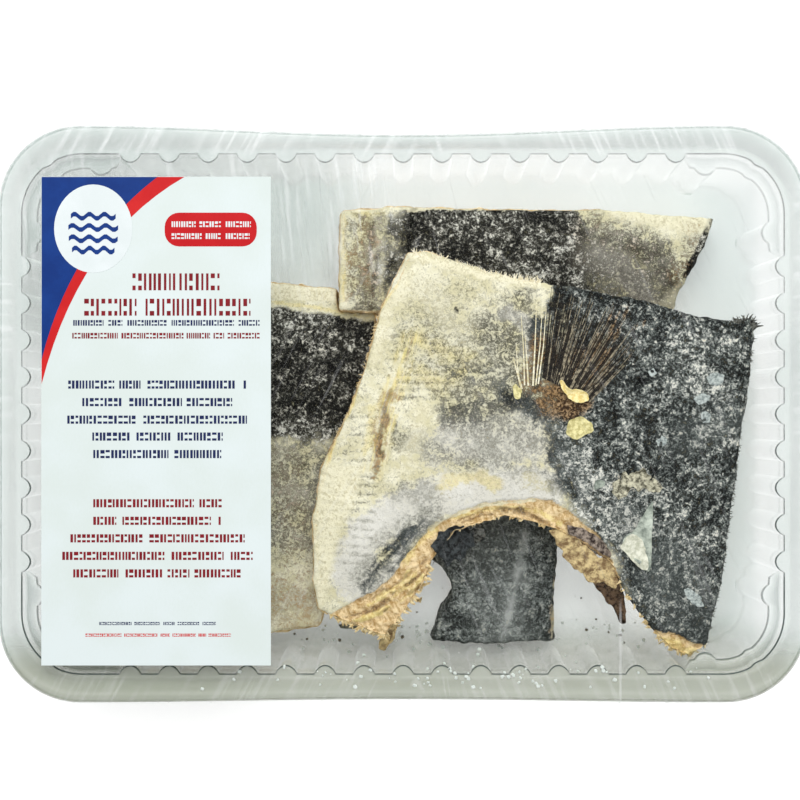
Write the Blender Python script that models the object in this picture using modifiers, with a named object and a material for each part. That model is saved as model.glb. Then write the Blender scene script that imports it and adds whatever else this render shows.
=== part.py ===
"""A sealed retail pack of salted dried fish cutlets.

A clear tray with fluted walls holds four cutlets. Stretch film goes over the rim, down the outside and
under the base, and a paper label lies on the film. +X runs along the pack, from the label to the
cutlets, +Y is the pack's far side and +Z is up. The origin is below the middle of the pack, on the
surface that it lies on. Sizes are in metres; the cutlets' outlines are in millimetres.
"""

import math
from collections.abc import Callable
from dataclasses import dataclass

import bmesh
import bpy

MM = 0.001
GAP = 0.3 * MM

PACK_LENGTH = 260.4 * MM
PACK_WIDTH = 186.0 * MM
PACK_CORNER_RADIUS = 26.6 * MM
FAR_SIDE_BOW = 2.9 * MM
NEAR_SIDE_BOW = 1.0 * MM

FILM_THICKNESS = 0.2 * MM
FILM_FOLD_WIDTH = 42.0 * MM

TRAY_THICKNESS = 0.5 * MM
TRAY_TOP = 41.0 * MM
TRAY_CORNER_RADIUS = 19.5 * MM
RIM_LIP_DEPTH = 3.0 * MM
RIM_ROUNDING = 0.8 * MM
LEDGE_HALF_LENGTH = 123.4 * MM
LEDGE_HALF_WIDTH = 84.2 * MM
LEDGE_HEIGHT = 35.0 * MM
LEDGE_STEP = 0.9 * MM
WALL_DRAFT = 2.0 * MM
BASE_CHAMFER = 0.8 * MM
BASE_CHAMFER_HEIGHT = 1.8 * MM

RIB_DEPTH = 2.9 * MM
RIB_WIDTH = 5.8 * MM
RIB_TIP_WIDTH = 2.4 * MM
LONG_SIDE_RIBS = 15
LONG_SIDE_PITCH = 12.62 * MM
LONG_SIDE_END_RIB = 98.5 * MM
SHORT_SIDE_RIBS = 9
SHORT_SIDE_PITCH = 11.96 * MM
SHORT_SIDE_END_RIB = 59.3 * MM
CORNER_POST_DEPTH = 3.0 * MM

LABEL_LENGTH = 73.3 * MM
LABEL_WIDTH = 156.1 * MM
LABEL_THICKNESS = 0.2 * MM
LABEL_CENTRE = (-78.85 * MM, -2.25 * MM)

CORNER_STEPS = 8
BOW_STEPS = 8

CUTLET_GRID = 9.0 * MM
CUTLET_FLOOR = 1.6 * MM
PRISM_TOP = 50.0 * MM

COLLAR_OUTLINE_MM = (
    (1.6, 52.8), (7.2, 53.4), (18.6, 49.6), (31.6, 45.0), (44.6, 42.6), (56.0, 41.0), (77.3, 37.2),
    (97.3, 31.8), (110.9, 30.0), (115.6, 32.0), (115.3, 22.7), (113.4, 7.9), (110.7, -8.5),
    (108.3, -28.2), (105.9, -48.0), (103.9, -61.4), (100.0, -76.0), (94.6, -79.6), (88.8, -77.3),
    (81.2, -69.3), (74.2, -59.9), (68.1, -48.2), (55.9, -40.3), (44.4, -35.0), (33.1, -32.8),
    (16.9, -37.7), (9.5, -46.9), (5.6, -56.9), (-2.6, -68.3), (-5.9, -73.0), (-19.1, -68.2),
    (-28.1, -64.8), (-29.7, -54.8), (-29.6, -34.9), (-27.0, -17.7), (-19.0, -2.0), (-12.4, 14.4),
    (-6.9, 35.7),
)
LEFT_SLAB_OUTLINE_MM = (
    (-84.0, 44.0), (-52.0, 45.0), (-22.4, 42.5), (-22.2, 34.0), (-9.4, 31.0), (-14.0, -10.0),
    (-28.0, -71.5), (-60.0, -76.0), (-88.0, -74.0), (-91.0, -20.0),
)
FAR_SLAB_OUTLINE_MM = (
    (-21.0, 68.1), (-1.0, 69.5), (32.5, 68.3), (66.1, 68.5), (105.1, 66.0), (101.7, 56.9),
    (93.2, 41.7), (89.0, 29.0), (50.0, 31.0), (10.0, 34.0), (-21.4, 34.7),
)
TAIL_OUTLINE_MM = (
    (23.0, -14.0), (16.0, -40.0), (9.8, -48.1), (15.3, -54.6), (17.6, -59.7), (12.5, -68.1),
    (9.8, -77.0), (26.1, -77.8), (39.7, -77.4), (51.2, -77.0), (50.5, -66.4), (51.5, -54.6),
    (53.2, -35.9), (52.0, -16.0), (38.0, -11.0),
)


@dataclass(frozen=True)
class Dome:
    """A cutlet's upper surface: its highest point and how far it falls away on each of its four sides."""

    peak_mm: tuple[float, float, float]
    fall_mm: tuple[float, float, float, float]
    reach_mm: tuple[float, float, float, float]

    def height(self, x: float, y: float) -> float:
        """Return the height in metres at a place in metres. The sides run -X, +X, -Y, +Y."""
        peak_x, peak_y, peak_z = self.peak_mm
        away_x = x / MM - peak_x
        away_y = y / MM - peak_y
        side_x = 0 if away_x < 0 else 1
        side_y = 2 if away_y < 0 else 3
        drop = self.fall_mm[side_x] * (away_x / self.reach_mm[side_x]) ** 2
        drop += self.fall_mm[side_y] * (away_y / self.reach_mm[side_y]) ** 2
        return (peak_z - drop) * MM


@dataclass(frozen=True)
class Cutlet:
    """One piece of fish: its outline from above, its domed top, its thickness and its colour."""

    name: str
    outline_mm: tuple[tuple[float, float], ...]
    dome: Dome
    thickness: float
    colour: tuple[float, float, float]


CUTLETS = (
    Cutlet(
        "cutlet_collar",
        COLLAR_OUTLINE_MM,
        Dome((45.0, -5.0, 35.0), (7.0, 8.0, 6.0, 3.0), (72.0, 72.0, 75.0, 58.0)),
        8.5 * MM,
        (0.42, 0.39, 0.31),
    ),
    Cutlet(
        "cutlet_slab_left",
        LEFT_SLAB_OUTLINE_MM,
        Dome((-55.0, -15.0, 16.0), (1.5, 1.5, 1.2, 0.8), (35.0, 45.0, 60.0, 60.0)),
        20.0 * MM,
        (0.23, 0.21, 0.18),
    ),
    Cutlet(
        "cutlet_slab_far",
        FAR_SLAB_OUTLINE_MM,
        Dome((-5.0, 50.0, 20.5), (0.5, 5.0, 0.5, 1.0), (20.0, 110.0, 20.0, 20.0)),
        26.0 * MM,
        (0.19, 0.17, 0.16),
    ),
    Cutlet(
        "cutlet_tail",
        TAIL_OUTLINE_MM,
        Dome((33.0, -50.0, 13.5), (2.0, 2.0, 1.5, 1.5), (22.0, 22.0, 28.0, 40.0)),
        16.0 * MM,
        (0.11, 0.12, 0.13),
    ),
)


def clear_scene() -> None:
    """Remove every object that the start-up scene holds."""
    for scene_object in list(bpy.data.objects):
        bpy.data.objects.remove(scene_object, do_unlink=True)


def make_collection(name: str) -> bpy.types.Collection:
    """Return a new collection linked to the scene."""
    collection = bpy.data.collections.new(name)
    bpy.context.scene.collection.children.link(collection)
    return collection


def make_material(
    name: str, colour: tuple[float, float, float], roughness: float, alpha: float = 1.0
) -> bpy.types.Material:
    """Return a non-metallic Principled material."""
    material = bpy.data.materials.new(name)
    material.use_nodes = True
    shader = material.node_tree.nodes["Principled BSDF"]
    shader.inputs["Base Color"].default_value = (*colour, 1.0)
    shader.inputs["Roughness"].default_value = roughness
    shader.inputs["Metallic"].default_value = 0.0
    shader.inputs["Alpha"].default_value = alpha
    return material


def add_object(
    name: str, mesh: bpy.types.Mesh, material: bpy.types.Material, collection: bpy.types.Collection
) -> bpy.types.Object:
    """Link a mesh object that carries one material."""
    mesh.materials.append(material)
    made = bpy.data.objects.new(name, mesh)
    collection.objects.link(made)
    return made


def arc(
    centre: tuple[float, float], radius: float, start_degrees: float
) -> list[tuple[float, float]]:
    """Return the points of a quarter turn, anticlockwise from the start angle."""
    angles = [math.radians(start_degrees + 90.0 * step / CORNER_STEPS) for step in range(CORNER_STEPS + 1)]
    return [
        (centre[0] + radius * math.cos(angle), centre[1] + radius * math.sin(angle)) for angle in angles
    ]


def bowed_side(half_side: float, y: float, bow: float) -> list[tuple[float, float]]:
    """Return the inner points of a side along X that bends towards the middle, from -X to +X."""
    points = []
    for step in range(1, BOW_STEPS):
        x = half_side * (2.0 * step / BOW_STEPS - 1.0)
        bend = bow * 0.5 * (1.0 + math.cos(math.pi * x / half_side))
        points.append((x, y - math.copysign(bend, y)))
    return points


def rounded_outline(
    half_length: float, half_width: float, radius: float, bow_share: float
) -> list[tuple[float, float]]:
    """Return a rounded rectangle, anticlockwise, whose two long sides bend inwards.

    Args:
        half_length: Half the length along X.
        half_width: Half the width along Y.
        radius: The corners' radius.
        bow_share: The share of the pack's full bow that this outline has.
    """
    flat_x = half_length - radius
    flat_y = half_width - radius
    outline = bowed_side(flat_x, -half_width, NEAR_SIDE_BOW * bow_share)
    outline += arc((flat_x, -flat_y), radius, -90.0)
    outline += arc((flat_x, flat_y), radius, 0.0)
    outline += reversed(bowed_side(flat_x, half_width, FAR_SIDE_BOW * bow_share))
    outline += arc((-flat_x, flat_y), radius, 90.0)
    outline += arc((-flat_x, -flat_y), radius, 180.0)
    return outline


def rib_centres(count: int, pitch: float, end_rib: float) -> list[float]:
    """Return the ribs' places along a side: the evenly spaced ones and one more at each end."""
    middle = [pitch * (index - (count - 1) / 2.0) for index in range(count)]
    return [-end_rib, *middle, end_rib]


def rib_profile(centres: list[float]) -> list[tuple[float, float]]:
    """Return (place along the side, depth) pairs that trace each rib."""
    profile = []
    for centre in centres:
        profile.append((centre - RIB_WIDTH / 2.0, 0.0))
        profile.append((centre - RIB_TIP_WIDTH / 2.0, RIB_DEPTH))
        profile.append((centre + RIB_TIP_WIDTH / 2.0, RIB_DEPTH))
        profile.append((centre + RIB_WIDTH / 2.0, 0.0))
    return profile


def fluted_outline(inset: float) -> list[tuple[float, float]]:
    """Return the fluted wall's outline, anticlockwise, at a distance inside the ledge."""
    half_length = LEDGE_HALF_LENGTH - inset
    half_width = LEDGE_HALF_WIDTH - inset
    centre_x = LEDGE_HALF_LENGTH - TRAY_CORNER_RADIUS
    centre_y = LEDGE_HALF_WIDTH - TRAY_CORNER_RADIUS
    corner_radius = TRAY_CORNER_RADIUS - inset - CORNER_POST_DEPTH
    long_side = rib_profile(rib_centres(LONG_SIDE_RIBS, LONG_SIDE_PITCH, LONG_SIDE_END_RIB))
    short_side = rib_profile(rib_centres(SHORT_SIDE_RIBS, SHORT_SIDE_PITCH, SHORT_SIDE_END_RIB))
    outline = [(along, depth - half_width) for along, depth in long_side]
    outline += arc((centre_x, -centre_y), corner_radius, -90.0)
    outline += [(half_length - depth, along) for along, depth in short_side]
    outline += arc((centre_x, centre_y), corner_radius, 0.0)
    outline += [(-along, half_width - depth) for along, depth in long_side]
    outline += arc((-centre_x, centre_y), corner_radius, 90.0)
    outline += [(depth - half_length, -along) for along, depth in short_side]
    outline += arc((-centre_x, -centre_y), corner_radius, 180.0)
    return outline


def add_ring(
    shell: bmesh.types.BMesh, outline: list[tuple[float, float]], height: float
) -> list[bmesh.types.BMVert]:
    """Add an outline's points at one height."""
    return [shell.verts.new((x, y, height)) for x, y in outline]


def loft(
    shell: bmesh.types.BMesh, first: list[bmesh.types.BMVert], second: list[bmesh.types.BMVert]
) -> None:
    """Join two rings with as many points each by a band of quads."""
    for index, start in enumerate(first):
        after = (index + 1) % len(first)
        shell.faces.new((start, first[after], second[after], second[index]))


def fill_between(
    shell: bmesh.types.BMesh, outer: list[bmesh.types.BMVert], inner: list[bmesh.types.BMVert]
) -> None:
    """Fill the level strip between two rings with unlike numbers of points."""
    edges = []
    for ring in (outer, inner):
        for index, start in enumerate(ring):
            after = ring[(index + 1) % len(ring)]
            edges.append(shell.edges.get((start, after)) or shell.edges.new((start, after)))
    bmesh.ops.triangle_fill(shell, use_beauty=True, edges=edges, normal=(0.0, 0.0, 1.0))


def finish_shell(
    name: str,
    shell: bmesh.types.BMesh,
    thickness: float,
    material: bpy.types.Material,
    collection: bpy.types.Collection,
) -> bpy.types.Object:
    """Make an open surface into a thin wall that grows to the side its last face looks to."""
    bmesh.ops.recalc_face_normals(shell, faces=shell.faces[:])
    shell.faces.ensure_lookup_table()
    if shell.faces[-1].normal.z < 0.0:
        bmesh.ops.reverse_faces(shell, faces=shell.faces[:])
    mesh = bpy.data.meshes.new(name)
    shell.to_mesh(mesh)
    shell.free()
    made = add_object(name, mesh, material, collection)
    solidify = made.modifiers.new("wall", "SOLIDIFY")
    solidify.thickness = thickness
    solidify.offset = 1.0
    return made


def build_tray(collection: bpy.types.Collection) -> None:
    """Build the tray from its underside: rolled rim, sloped shoulder, ledge, fluted wall and floor."""
    rim_inset = FILM_THICKNESS + GAP + TRAY_THICKNESS
    half_length = PACK_LENGTH / 2.0 - rim_inset
    half_width = PACK_WIDTH / 2.0 - rim_inset
    radius = PACK_CORNER_RADIUS - rim_inset
    rim_height = TRAY_TOP - TRAY_THICKNESS
    ledge_inset_x = half_length - LEDGE_HALF_LENGTH - LEDGE_STEP
    ledge_inset_y = half_width - LEDGE_HALF_WIDTH - LEDGE_STEP
    floor_height = FILM_THICKNESS + GAP
    levels = (
        (0.0, 1.0, rim_height - RIM_LIP_DEPTH),
        (0.0, 1.0, rim_height - RIM_ROUNDING),
        (0.15, 1.0, rim_height),
        (0.5, 0.9, rim_height),
        (0.72, 0.55, rim_height - 0.35 * (rim_height - LEDGE_HEIGHT)),
        (1.0, 0.0, LEDGE_HEIGHT),
    )
    shell = bmesh.new()
    rings = []
    for share, bow_share, height in levels:
        level_radius = radius - share * (radius - TRAY_CORNER_RADIUS - LEDGE_STEP)
        outline = rounded_outline(
            half_length - share * ledge_inset_x, half_width - share * ledge_inset_y, level_radius, bow_share
        )
        rings.append(add_ring(shell, outline, height))
    for upper, lower in zip(rings, rings[1:], strict=False):
        loft(shell, upper, lower)
    wall_top = add_ring(shell, fluted_outline(0.0), LEDGE_HEIGHT)
    fill_between(shell, rings[-1], wall_top)
    wall_foot = add_ring(shell, fluted_outline(WALL_DRAFT), floor_height + BASE_CHAMFER_HEIGHT)
    loft(shell, wall_top, wall_foot)
    floor_edge = add_ring(shell, fluted_outline(WALL_DRAFT + BASE_CHAMFER), floor_height)
    loft(shell, wall_foot, floor_edge)
    shell.faces.new(floor_edge)
    clear_plastic = make_material("clear_tray", (0.86, 0.91, 0.90), 0.12, 0.3)
    finish_shell("tray", shell, TRAY_THICKNESS, clear_plastic, collection)


def build_film(collection: bpy.types.Collection) -> None:
    """Build the stretch film from its inner side: the fold under the base, the sides and the flat top."""
    base_half_length = LEDGE_HALF_LENGTH - WALL_DRAFT
    base_half_width = LEDGE_HALF_WIDTH - WALL_DRAFT
    base_radius = TRAY_CORNER_RADIUS - WALL_DRAFT
    fold_half_length = base_half_length - FILM_FOLD_WIDTH
    fold_half_width = base_half_width - FILM_FOLD_WIDTH
    rim_half_length = PACK_LENGTH / 2.0 - FILM_THICKNESS
    rim_half_width = PACK_WIDTH / 2.0 - FILM_THICKNESS
    rim_radius = PACK_CORNER_RADIUS - FILM_THICKNESS
    film_top = TRAY_TOP + GAP
    levels = (
        (fold_half_length, fold_half_width, base_radius, 0.0, FILM_THICKNESS),
        (base_half_length, base_half_width, base_radius, 0.0, FILM_THICKNESS),
        (base_half_length + GAP * 3.0, base_half_width + GAP * 3.0, base_radius, 0.0, 2.0 * MM),
        (rim_half_length, rim_half_width, rim_radius, 1.0, film_top - RIM_LIP_DEPTH),
        (rim_half_length, rim_half_width, rim_radius, 1.0, film_top - RIM_ROUNDING),
        (rim_half_length - RIM_ROUNDING, rim_half_width - RIM_ROUNDING, rim_radius, 1.0, film_top),
    )
    shell = bmesh.new()
    rings = []
    for half_length, half_width, radius, bow_share, height in levels:
        rings.append(add_ring(shell, rounded_outline(half_length, half_width, radius, bow_share), height))
    for lower, upper in zip(rings, rings[1:], strict=False):
        loft(shell, lower, upper)
    shell.faces.new(rings[-1])
    clear_film = make_material("clear_film", (0.93, 0.96, 0.96), 0.08, 0.15)
    finish_shell("film", shell, FILM_THICKNESS, clear_film, collection)


def build_label(collection: bpy.types.Collection) -> None:
    """Build the paper label as a thin sheet that lies on the film."""
    height = TRAY_TOP + FILM_THICKNESS + 2.0 * GAP + LABEL_THICKNESS / 2.0
    bpy.ops.mesh.primitive_cube_add(size=1.0, location=(*LABEL_CENTRE, height))
    label = bpy.context.active_object
    label.name = "label"
    label.scale = (LABEL_LENGTH, LABEL_WIDTH, LABEL_THICKNESS)
    bpy.ops.object.transform_apply(location=False, rotation=False, scale=True)
    label.data.materials.append(make_material("paper_label", (0.90, 0.93, 0.94), 0.45))
    move_to(label, collection)


def move_to(scene_object: bpy.types.Object, collection: bpy.types.Collection) -> None:
    """Take an object out of every other collection and link it to this one."""
    for owner in list(scene_object.users_collection):
        owner.objects.unlink(scene_object)
    collection.objects.link(scene_object)


def outline_prism(cutlet: Cutlet, cutters: bpy.types.Collection) -> bpy.types.Object:
    """Return a hidden upright prism over a cutlet's outline, from the tray's floor to above the cutlet."""
    curve = bpy.data.curves.new(cutlet.name + "_outline", "CURVE")
    curve.dimensions = "2D"
    curve.fill_mode = "BOTH"
    curve.extrude = (PRISM_TOP - CUTLET_FLOOR) / 2.0
    spline = curve.splines.new("POLY")
    spline.points.add(len(cutlet.outline_mm) - 1)
    for point, (x, y) in zip(spline.points, cutlet.outline_mm, strict=True):
        point.co = (x * MM, y * MM, 0.0, 1.0)
    spline.use_cyclic_u = True
    guide = bpy.data.objects.new(cutlet.name + "_outline", curve)
    guide.location.z = (PRISM_TOP + CUTLET_FLOOR) / 2.0
    cutters.objects.link(guide)
    bpy.context.view_layer.update()
    evaluated = guide.evaluated_get(bpy.context.evaluated_depsgraph_get())
    mesh = bpy.data.meshes.new_from_object(evaluated)
    welded = bmesh.new()
    welded.from_mesh(mesh)
    bmesh.ops.remove_doubles(welded, verts=welded.verts[:], dist=0.01 * MM)
    bmesh.ops.recalc_face_normals(welded, faces=welded.faces[:])
    welded.to_mesh(mesh)
    welded.free()
    prism = bpy.data.objects.new(cutlet.name + "_prism", mesh)
    prism.matrix_world = guide.matrix_world
    bpy.data.objects.remove(guide, do_unlink=True)
    prism.hide_render = True
    prism.display_type = "WIRE"
    cutters.objects.link(prism)
    return prism


def domed_sheet(cutlet: Cutlet, surface: Callable[[float, float], float]) -> bpy.types.Object:
    """Return a grid, a little larger than the outline, that follows the cutlet's upper surface."""
    xs = [x * MM for x, _ in cutlet.outline_mm]
    ys = [y * MM for _, y in cutlet.outline_mm]
    length = max(xs) - min(xs) + CUTLET_GRID
    width = max(ys) - min(ys) + CUTLET_GRID
    centre_x = (max(xs) + min(xs)) / 2.0
    centre_y = (max(ys) + min(ys)) / 2.0
    bpy.ops.mesh.primitive_grid_add(
        x_subdivisions=round(length / CUTLET_GRID),
        y_subdivisions=round(width / CUTLET_GRID),
        size=1.0,
    )
    sheet = bpy.context.active_object
    sheet.name = cutlet.name
    for vertex in sheet.data.vertices:
        vertex.co.x = centre_x + vertex.co.x * length
        vertex.co.y = centre_y + vertex.co.y * width
        vertex.co.z = surface(vertex.co.x, vertex.co.y)
    return sheet


def build_cutlet(
    cutlet: Cutlet, collection: bpy.types.Collection, cutters: bpy.types.Collection
) -> None:
    """Build one cutlet: a thick domed sheet trimmed to its outline and to the tray's floor."""
    prism = outline_prism(cutlet, cutters)
    sheet = domed_sheet(cutlet, cutlet.dome.height)
    solidify = sheet.modifiers.new("thickness", "SOLIDIFY")
    solidify.thickness = cutlet.thickness
    solidify.offset = -1.0
    trim = sheet.modifiers.new("outline", "BOOLEAN")
    trim.operation = "INTERSECT"
    trim.object = prism
    sheet.data.materials.append(make_material(cutlet.name, cutlet.colour, 0.75))
    move_to(sheet, collection)


def main() -> None:
    """Build the whole pack."""
    clear_scene()
    pack = make_collection("fish_cutlet_pack")
    cutters = make_collection("cutters")
    build_tray(pack)
    for cutlet in CUTLETS:
        build_cutlet(cutlet, pack, cutters)
    build_film(pack)
    build_label(pack)


main()
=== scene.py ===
"""Looks of the sealed retail pack of salted dried fish cutlets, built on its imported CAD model.

The clear fluted tray, the stretch film and the four cutlets replace their plain CAD nodes. The paper
label keeps its CAD node and gets a paper finish, with flat fields of ink laid on it. Sizes are in
metres and the marks that shape and colour the fish are in millimetres, both in the CAD model's frame.
"""

import logging
import math
from collections.abc import Callable, Iterator, Sequence
from contextlib import contextmanager
from dataclasses import dataclass, replace
from enum import Enum
from typing import Any

import bpy
import numpy as np
from mathutils import Matrix, Vector
from mathutils.bvhtree import BVHTree


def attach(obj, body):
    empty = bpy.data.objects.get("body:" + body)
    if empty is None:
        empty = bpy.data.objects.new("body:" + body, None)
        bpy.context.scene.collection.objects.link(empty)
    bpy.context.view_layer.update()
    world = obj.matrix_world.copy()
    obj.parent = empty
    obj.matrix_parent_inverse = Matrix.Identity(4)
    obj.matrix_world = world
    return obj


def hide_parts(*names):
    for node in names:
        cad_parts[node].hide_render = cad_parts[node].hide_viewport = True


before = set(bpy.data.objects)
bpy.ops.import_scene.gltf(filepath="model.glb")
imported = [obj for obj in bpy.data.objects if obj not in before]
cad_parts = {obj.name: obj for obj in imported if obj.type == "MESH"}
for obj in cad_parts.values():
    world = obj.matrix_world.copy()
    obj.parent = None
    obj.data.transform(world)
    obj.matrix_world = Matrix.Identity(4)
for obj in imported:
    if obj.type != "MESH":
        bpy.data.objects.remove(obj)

LOG = logging.getLogger("fish_pack")
MM = 0.001

TRAY_FLOOR_MM = 1.0

Spot = tuple[float, float]
Colour = tuple[float, float, float]
Piece = bpy.types.Object


def xy(*numbers: float) -> tuple[Spot, ...]:
    """Return the points whose X and Y are given in turn."""
    return tuple(zip(numbers[::2], numbers[1::2], strict=True))


def tone(red: int, green: int, blue: int, light: float = 1.0) -> Colour:
    """Return a colour for a shader.

    Args:
        red: Red as it shows on a screen, 0 to 255.
        green: Green, 0 to 255.
        blue: Blue, 0 to 255.
        light: How strongly the studio lights the finish, which is taken off.

    Returns:
        The colour's linear red, green and blue.
    """
    darkest, dark_slope, offset, power = 10, 3294.6, 0.055, 2.4
    linear = []
    for part in (red, green, blue):
        bright = ((part / 255.0 + offset) / (1.0 + offset)) ** power
        linear.append(min(1.0, (bright if part > darkest else part / dark_slope) / light))
    return tuple(linear)


def arithmetic(operation: str, swapped: bool = False) -> Callable[["Signal", "Signal | float"], "Signal"]:
    """Return a method of Signal that lays one Math node.

    Args:
        operation: What the node does.
        swapped: True if the signal itself is the second of its two values.

    Returns:
        The method.
    """

    def method(self: "Signal", other: "Signal | float") -> "Signal":
        """Return the outcome."""
        return self.maths(operation, *((other, self) if swapped else (self, other)))

    return method


class Signal:
    """A value in a shader that takes part in Python's arithmetic."""

    def __init__(self, sheet: "ShaderSheet", socket: bpy.types.NodeSocket) -> None:
        """Keep the sheet that the value belongs to and the socket that gives it."""
        self.sheet = sheet
        self.socket = socket

    def maths(self, operation: str, first: "Signal | float", second: "Signal | float" = 0.0) -> "Signal":
        """Return the outcome of one Math node.

        Args:
            operation: What the node does.
            first: The first value.
            second: The second.

        Returns:
            The outcome.
        """
        node = self.sheet.node("ShaderNodeMath", {"operation": operation}, {0: first, 1: second})
        return Signal(self.sheet, node.outputs[0])

    __add__ = arithmetic("ADD")
    __radd__ = arithmetic("ADD", True)
    __sub__ = arithmetic("SUBTRACT")
    __rsub__ = arithmetic("SUBTRACT", True)
    __mul__ = arithmetic("MULTIPLY")
    __rmul__ = arithmetic("MULTIPLY", True)
    at_least = arithmetic("MAXIMUM")

    def size(self) -> "Signal":
        """Return the value without its sign."""
        return self.maths("ABSOLUTE", self)

    def rise(self, start: float, end: float) -> "Signal":
        """Return 0 up to start, 1 from end on, and a smooth step between.

        Args:
            start: The highest value that gives 0.
            end: The lowest value that gives 1.

        Returns:
            The share.
        """
        settings = {"interpolation_type": "SMOOTHSTEP"}
        node = self.sheet.node("ShaderNodeMapRange", settings, {0: self, 1: start, 2: end})
        return Signal(self.sheet, node.outputs[0])


class ShaderSheet:
    """A new material and the nodes laid out on it."""

    def __init__(self, name: str) -> None:
        """Start an empty material.

        Args:
            name: The material's name.
        """
        self.material = bpy.data.materials.new(name)
        self.material.use_nodes = True
        self.tree = self.material.node_tree
        self.tree.nodes.clear()

    def node(
        self, kind: str, settings: dict[str, Any] | None = None, inputs: dict[Any, Any] | None = None
    ) -> bpy.types.Node:
        """Add a node, set it and feed its sockets.

        Args:
            kind: The node's type.
            settings: Its own settings; "stops" holds a ramp's places and colours.
            inputs: A value or a Signal for each socket, by name or number.

        Returns:
            The node.
        """
        node = self.tree.nodes.new(kind)
        for name, value in (settings or {}).items():
            if name == "stops":
                self.set_stops(node.color_ramp, value)
            else:
                setattr(node, name, value)
        for name, value in (inputs or {}).items():
            socket = node.inputs[name]
            if isinstance(value, Signal):
                self.tree.links.new(value.socket, socket)
            elif socket.type == "RGBA":
                socket.default_value = (*value, 1.0)
            else:
                socket.default_value = value
        return node

    @staticmethod
    def set_stops(ramp: bpy.types.ColorRamp, stops: Sequence[tuple[float, Colour]]) -> None:
        """Give a ramp its places and colours.

        Args:
            ramp: The ramp.
            stops: Each place, from 0 to 1, with its colour.
        """
        while len(ramp.elements) < len(stops):
            ramp.elements.new(0.5)
        for element, (place, colour) in zip(ramp.elements, stops, strict=True):
            element.position = place
            element.color = (*colour, 1.0)

    def place(self, scale: Sequence[float] = (1.0, 1.0, 1.0), turn: float = 0.0) -> Signal:
        """Return the object's own coordinates.

        Args:
            scale: How much closer together a pattern lies along each axis.
            turn: The pattern's turn about Z, in degrees.

        Returns:
            The place as a vector.
        """
        own = Signal(self, self.node("ShaderNodeTexCoord").outputs["Object"])
        if tuple(scale) == (1.0, 1.0, 1.0) and not turn:
            return own
        settings = {"vector_type": "TEXTURE"}
        angles = (0.0, 0.0, math.radians(turn))
        inputs = {"Vector": own, "Rotation": angles, "Scale": tuple(1.0 / part for part in scale)}
        return Signal(self, self.node("ShaderNodeMapping", settings, inputs).outputs[0])

    def choose(self, share: Signal, first: Signal, second: Signal) -> Signal:
        """Return a place that goes from the first to the second by a share.

        Args:
            share: The share of the second.
            first: The place at a share of 0.
            second: The place at a share of 1.

        Returns:
            The place.
        """
        inputs = {0: share, 4: first, 5: second}
        return Signal(self, self.node("ShaderNodeMix", {"data_type": "VECTOR"}, inputs).outputs[1])

    def axes(self) -> list[Signal]:
        """Return the place's X, Y and Z, each as a number."""
        parts = self.node("ShaderNodeSeparateXYZ", inputs={0: self.place()})
        return [Signal(self, socket) for socket in parts.outputs]

    def noise(
        self, place: Signal, grain_mm: float, detail: float = 3.0, rough: float = 0.6, twist: float = 0.0
    ) -> Signal:
        """Return cloudy noise from 0 to 1, mostly near 0.5.

        Args:
            place: Where it is read.
            grain_mm: The width of its coarsest clouds.
            detail: How many times it is refined.
            rough: How strong each finer layer is.
            twist: How far its clouds are pulled into curls.

        Returns:
            The noise.
        """
        inputs = {"Vector": place, "Scale": 1.0 / (grain_mm * MM), "Detail": detail, "Roughness": rough}
        inputs["Distortion"] = twist
        return Signal(self, self.node("ShaderNodeTexNoise", inputs=inputs).outputs[0])

    def painted(self, name: str) -> Signal:
        """Return a number painted on the mesh's points."""
        node = self.node("ShaderNodeAttribute", {"attribute_name": name})
        return Signal(self, node.outputs["Fac"])

    def ramp(self, value: Signal, stops: Sequence[tuple[float, Colour]]) -> Signal:
        """Return the colour that a value picks between the stops."""
        node = self.node("ShaderNodeValToRGB", {"stops": stops}, {0: value})
        return Signal(self, node.outputs[0])

    def mix(self, share: Signal | float, under: "Signal | Colour", over: "Signal | Colour") -> Signal:
        """Return one colour laid over another.

        Args:
            share: How much of the upper colour shows.
            under: The lower colour.
            over: The upper one.

        Returns:
            The colour.
        """
        inputs = {0: share, 6: under, 7: over}
        node = self.node("ShaderNodeMix", {"data_type": "RGBA", "clamp_factor": True}, inputs)
        return Signal(self, node.outputs[2])

    def bump(self, height: Signal, depth_mm: float, strength: float = 1.0) -> Signal:
        """Return a normal bent by a height.

        Args:
            height: The height, from 0 to 1.
            depth_mm: How deep a height of 1 is.
            strength: The share of the bend that is kept.

        Returns:
            The normal.
        """
        inputs = {"Strength": strength, "Distance": depth_mm * MM, "Height": height}
        return Signal(self, self.node("ShaderNodeBump", inputs=inputs).outputs[0])

    def finish(self, inputs: dict[str, Any]) -> bpy.types.Material:
        """Lay a Principled shader on the surface.

        Args:
            inputs: A value or a Signal for each of its sockets.

        Returns:
            The material.
        """
        shader = self.node("ShaderNodeBsdfPrincipled", inputs=inputs)
        output = self.node("ShaderNodeOutputMaterial")
        self.tree.links.new(shader.outputs[0], output.inputs[0])
        return self.material


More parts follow.
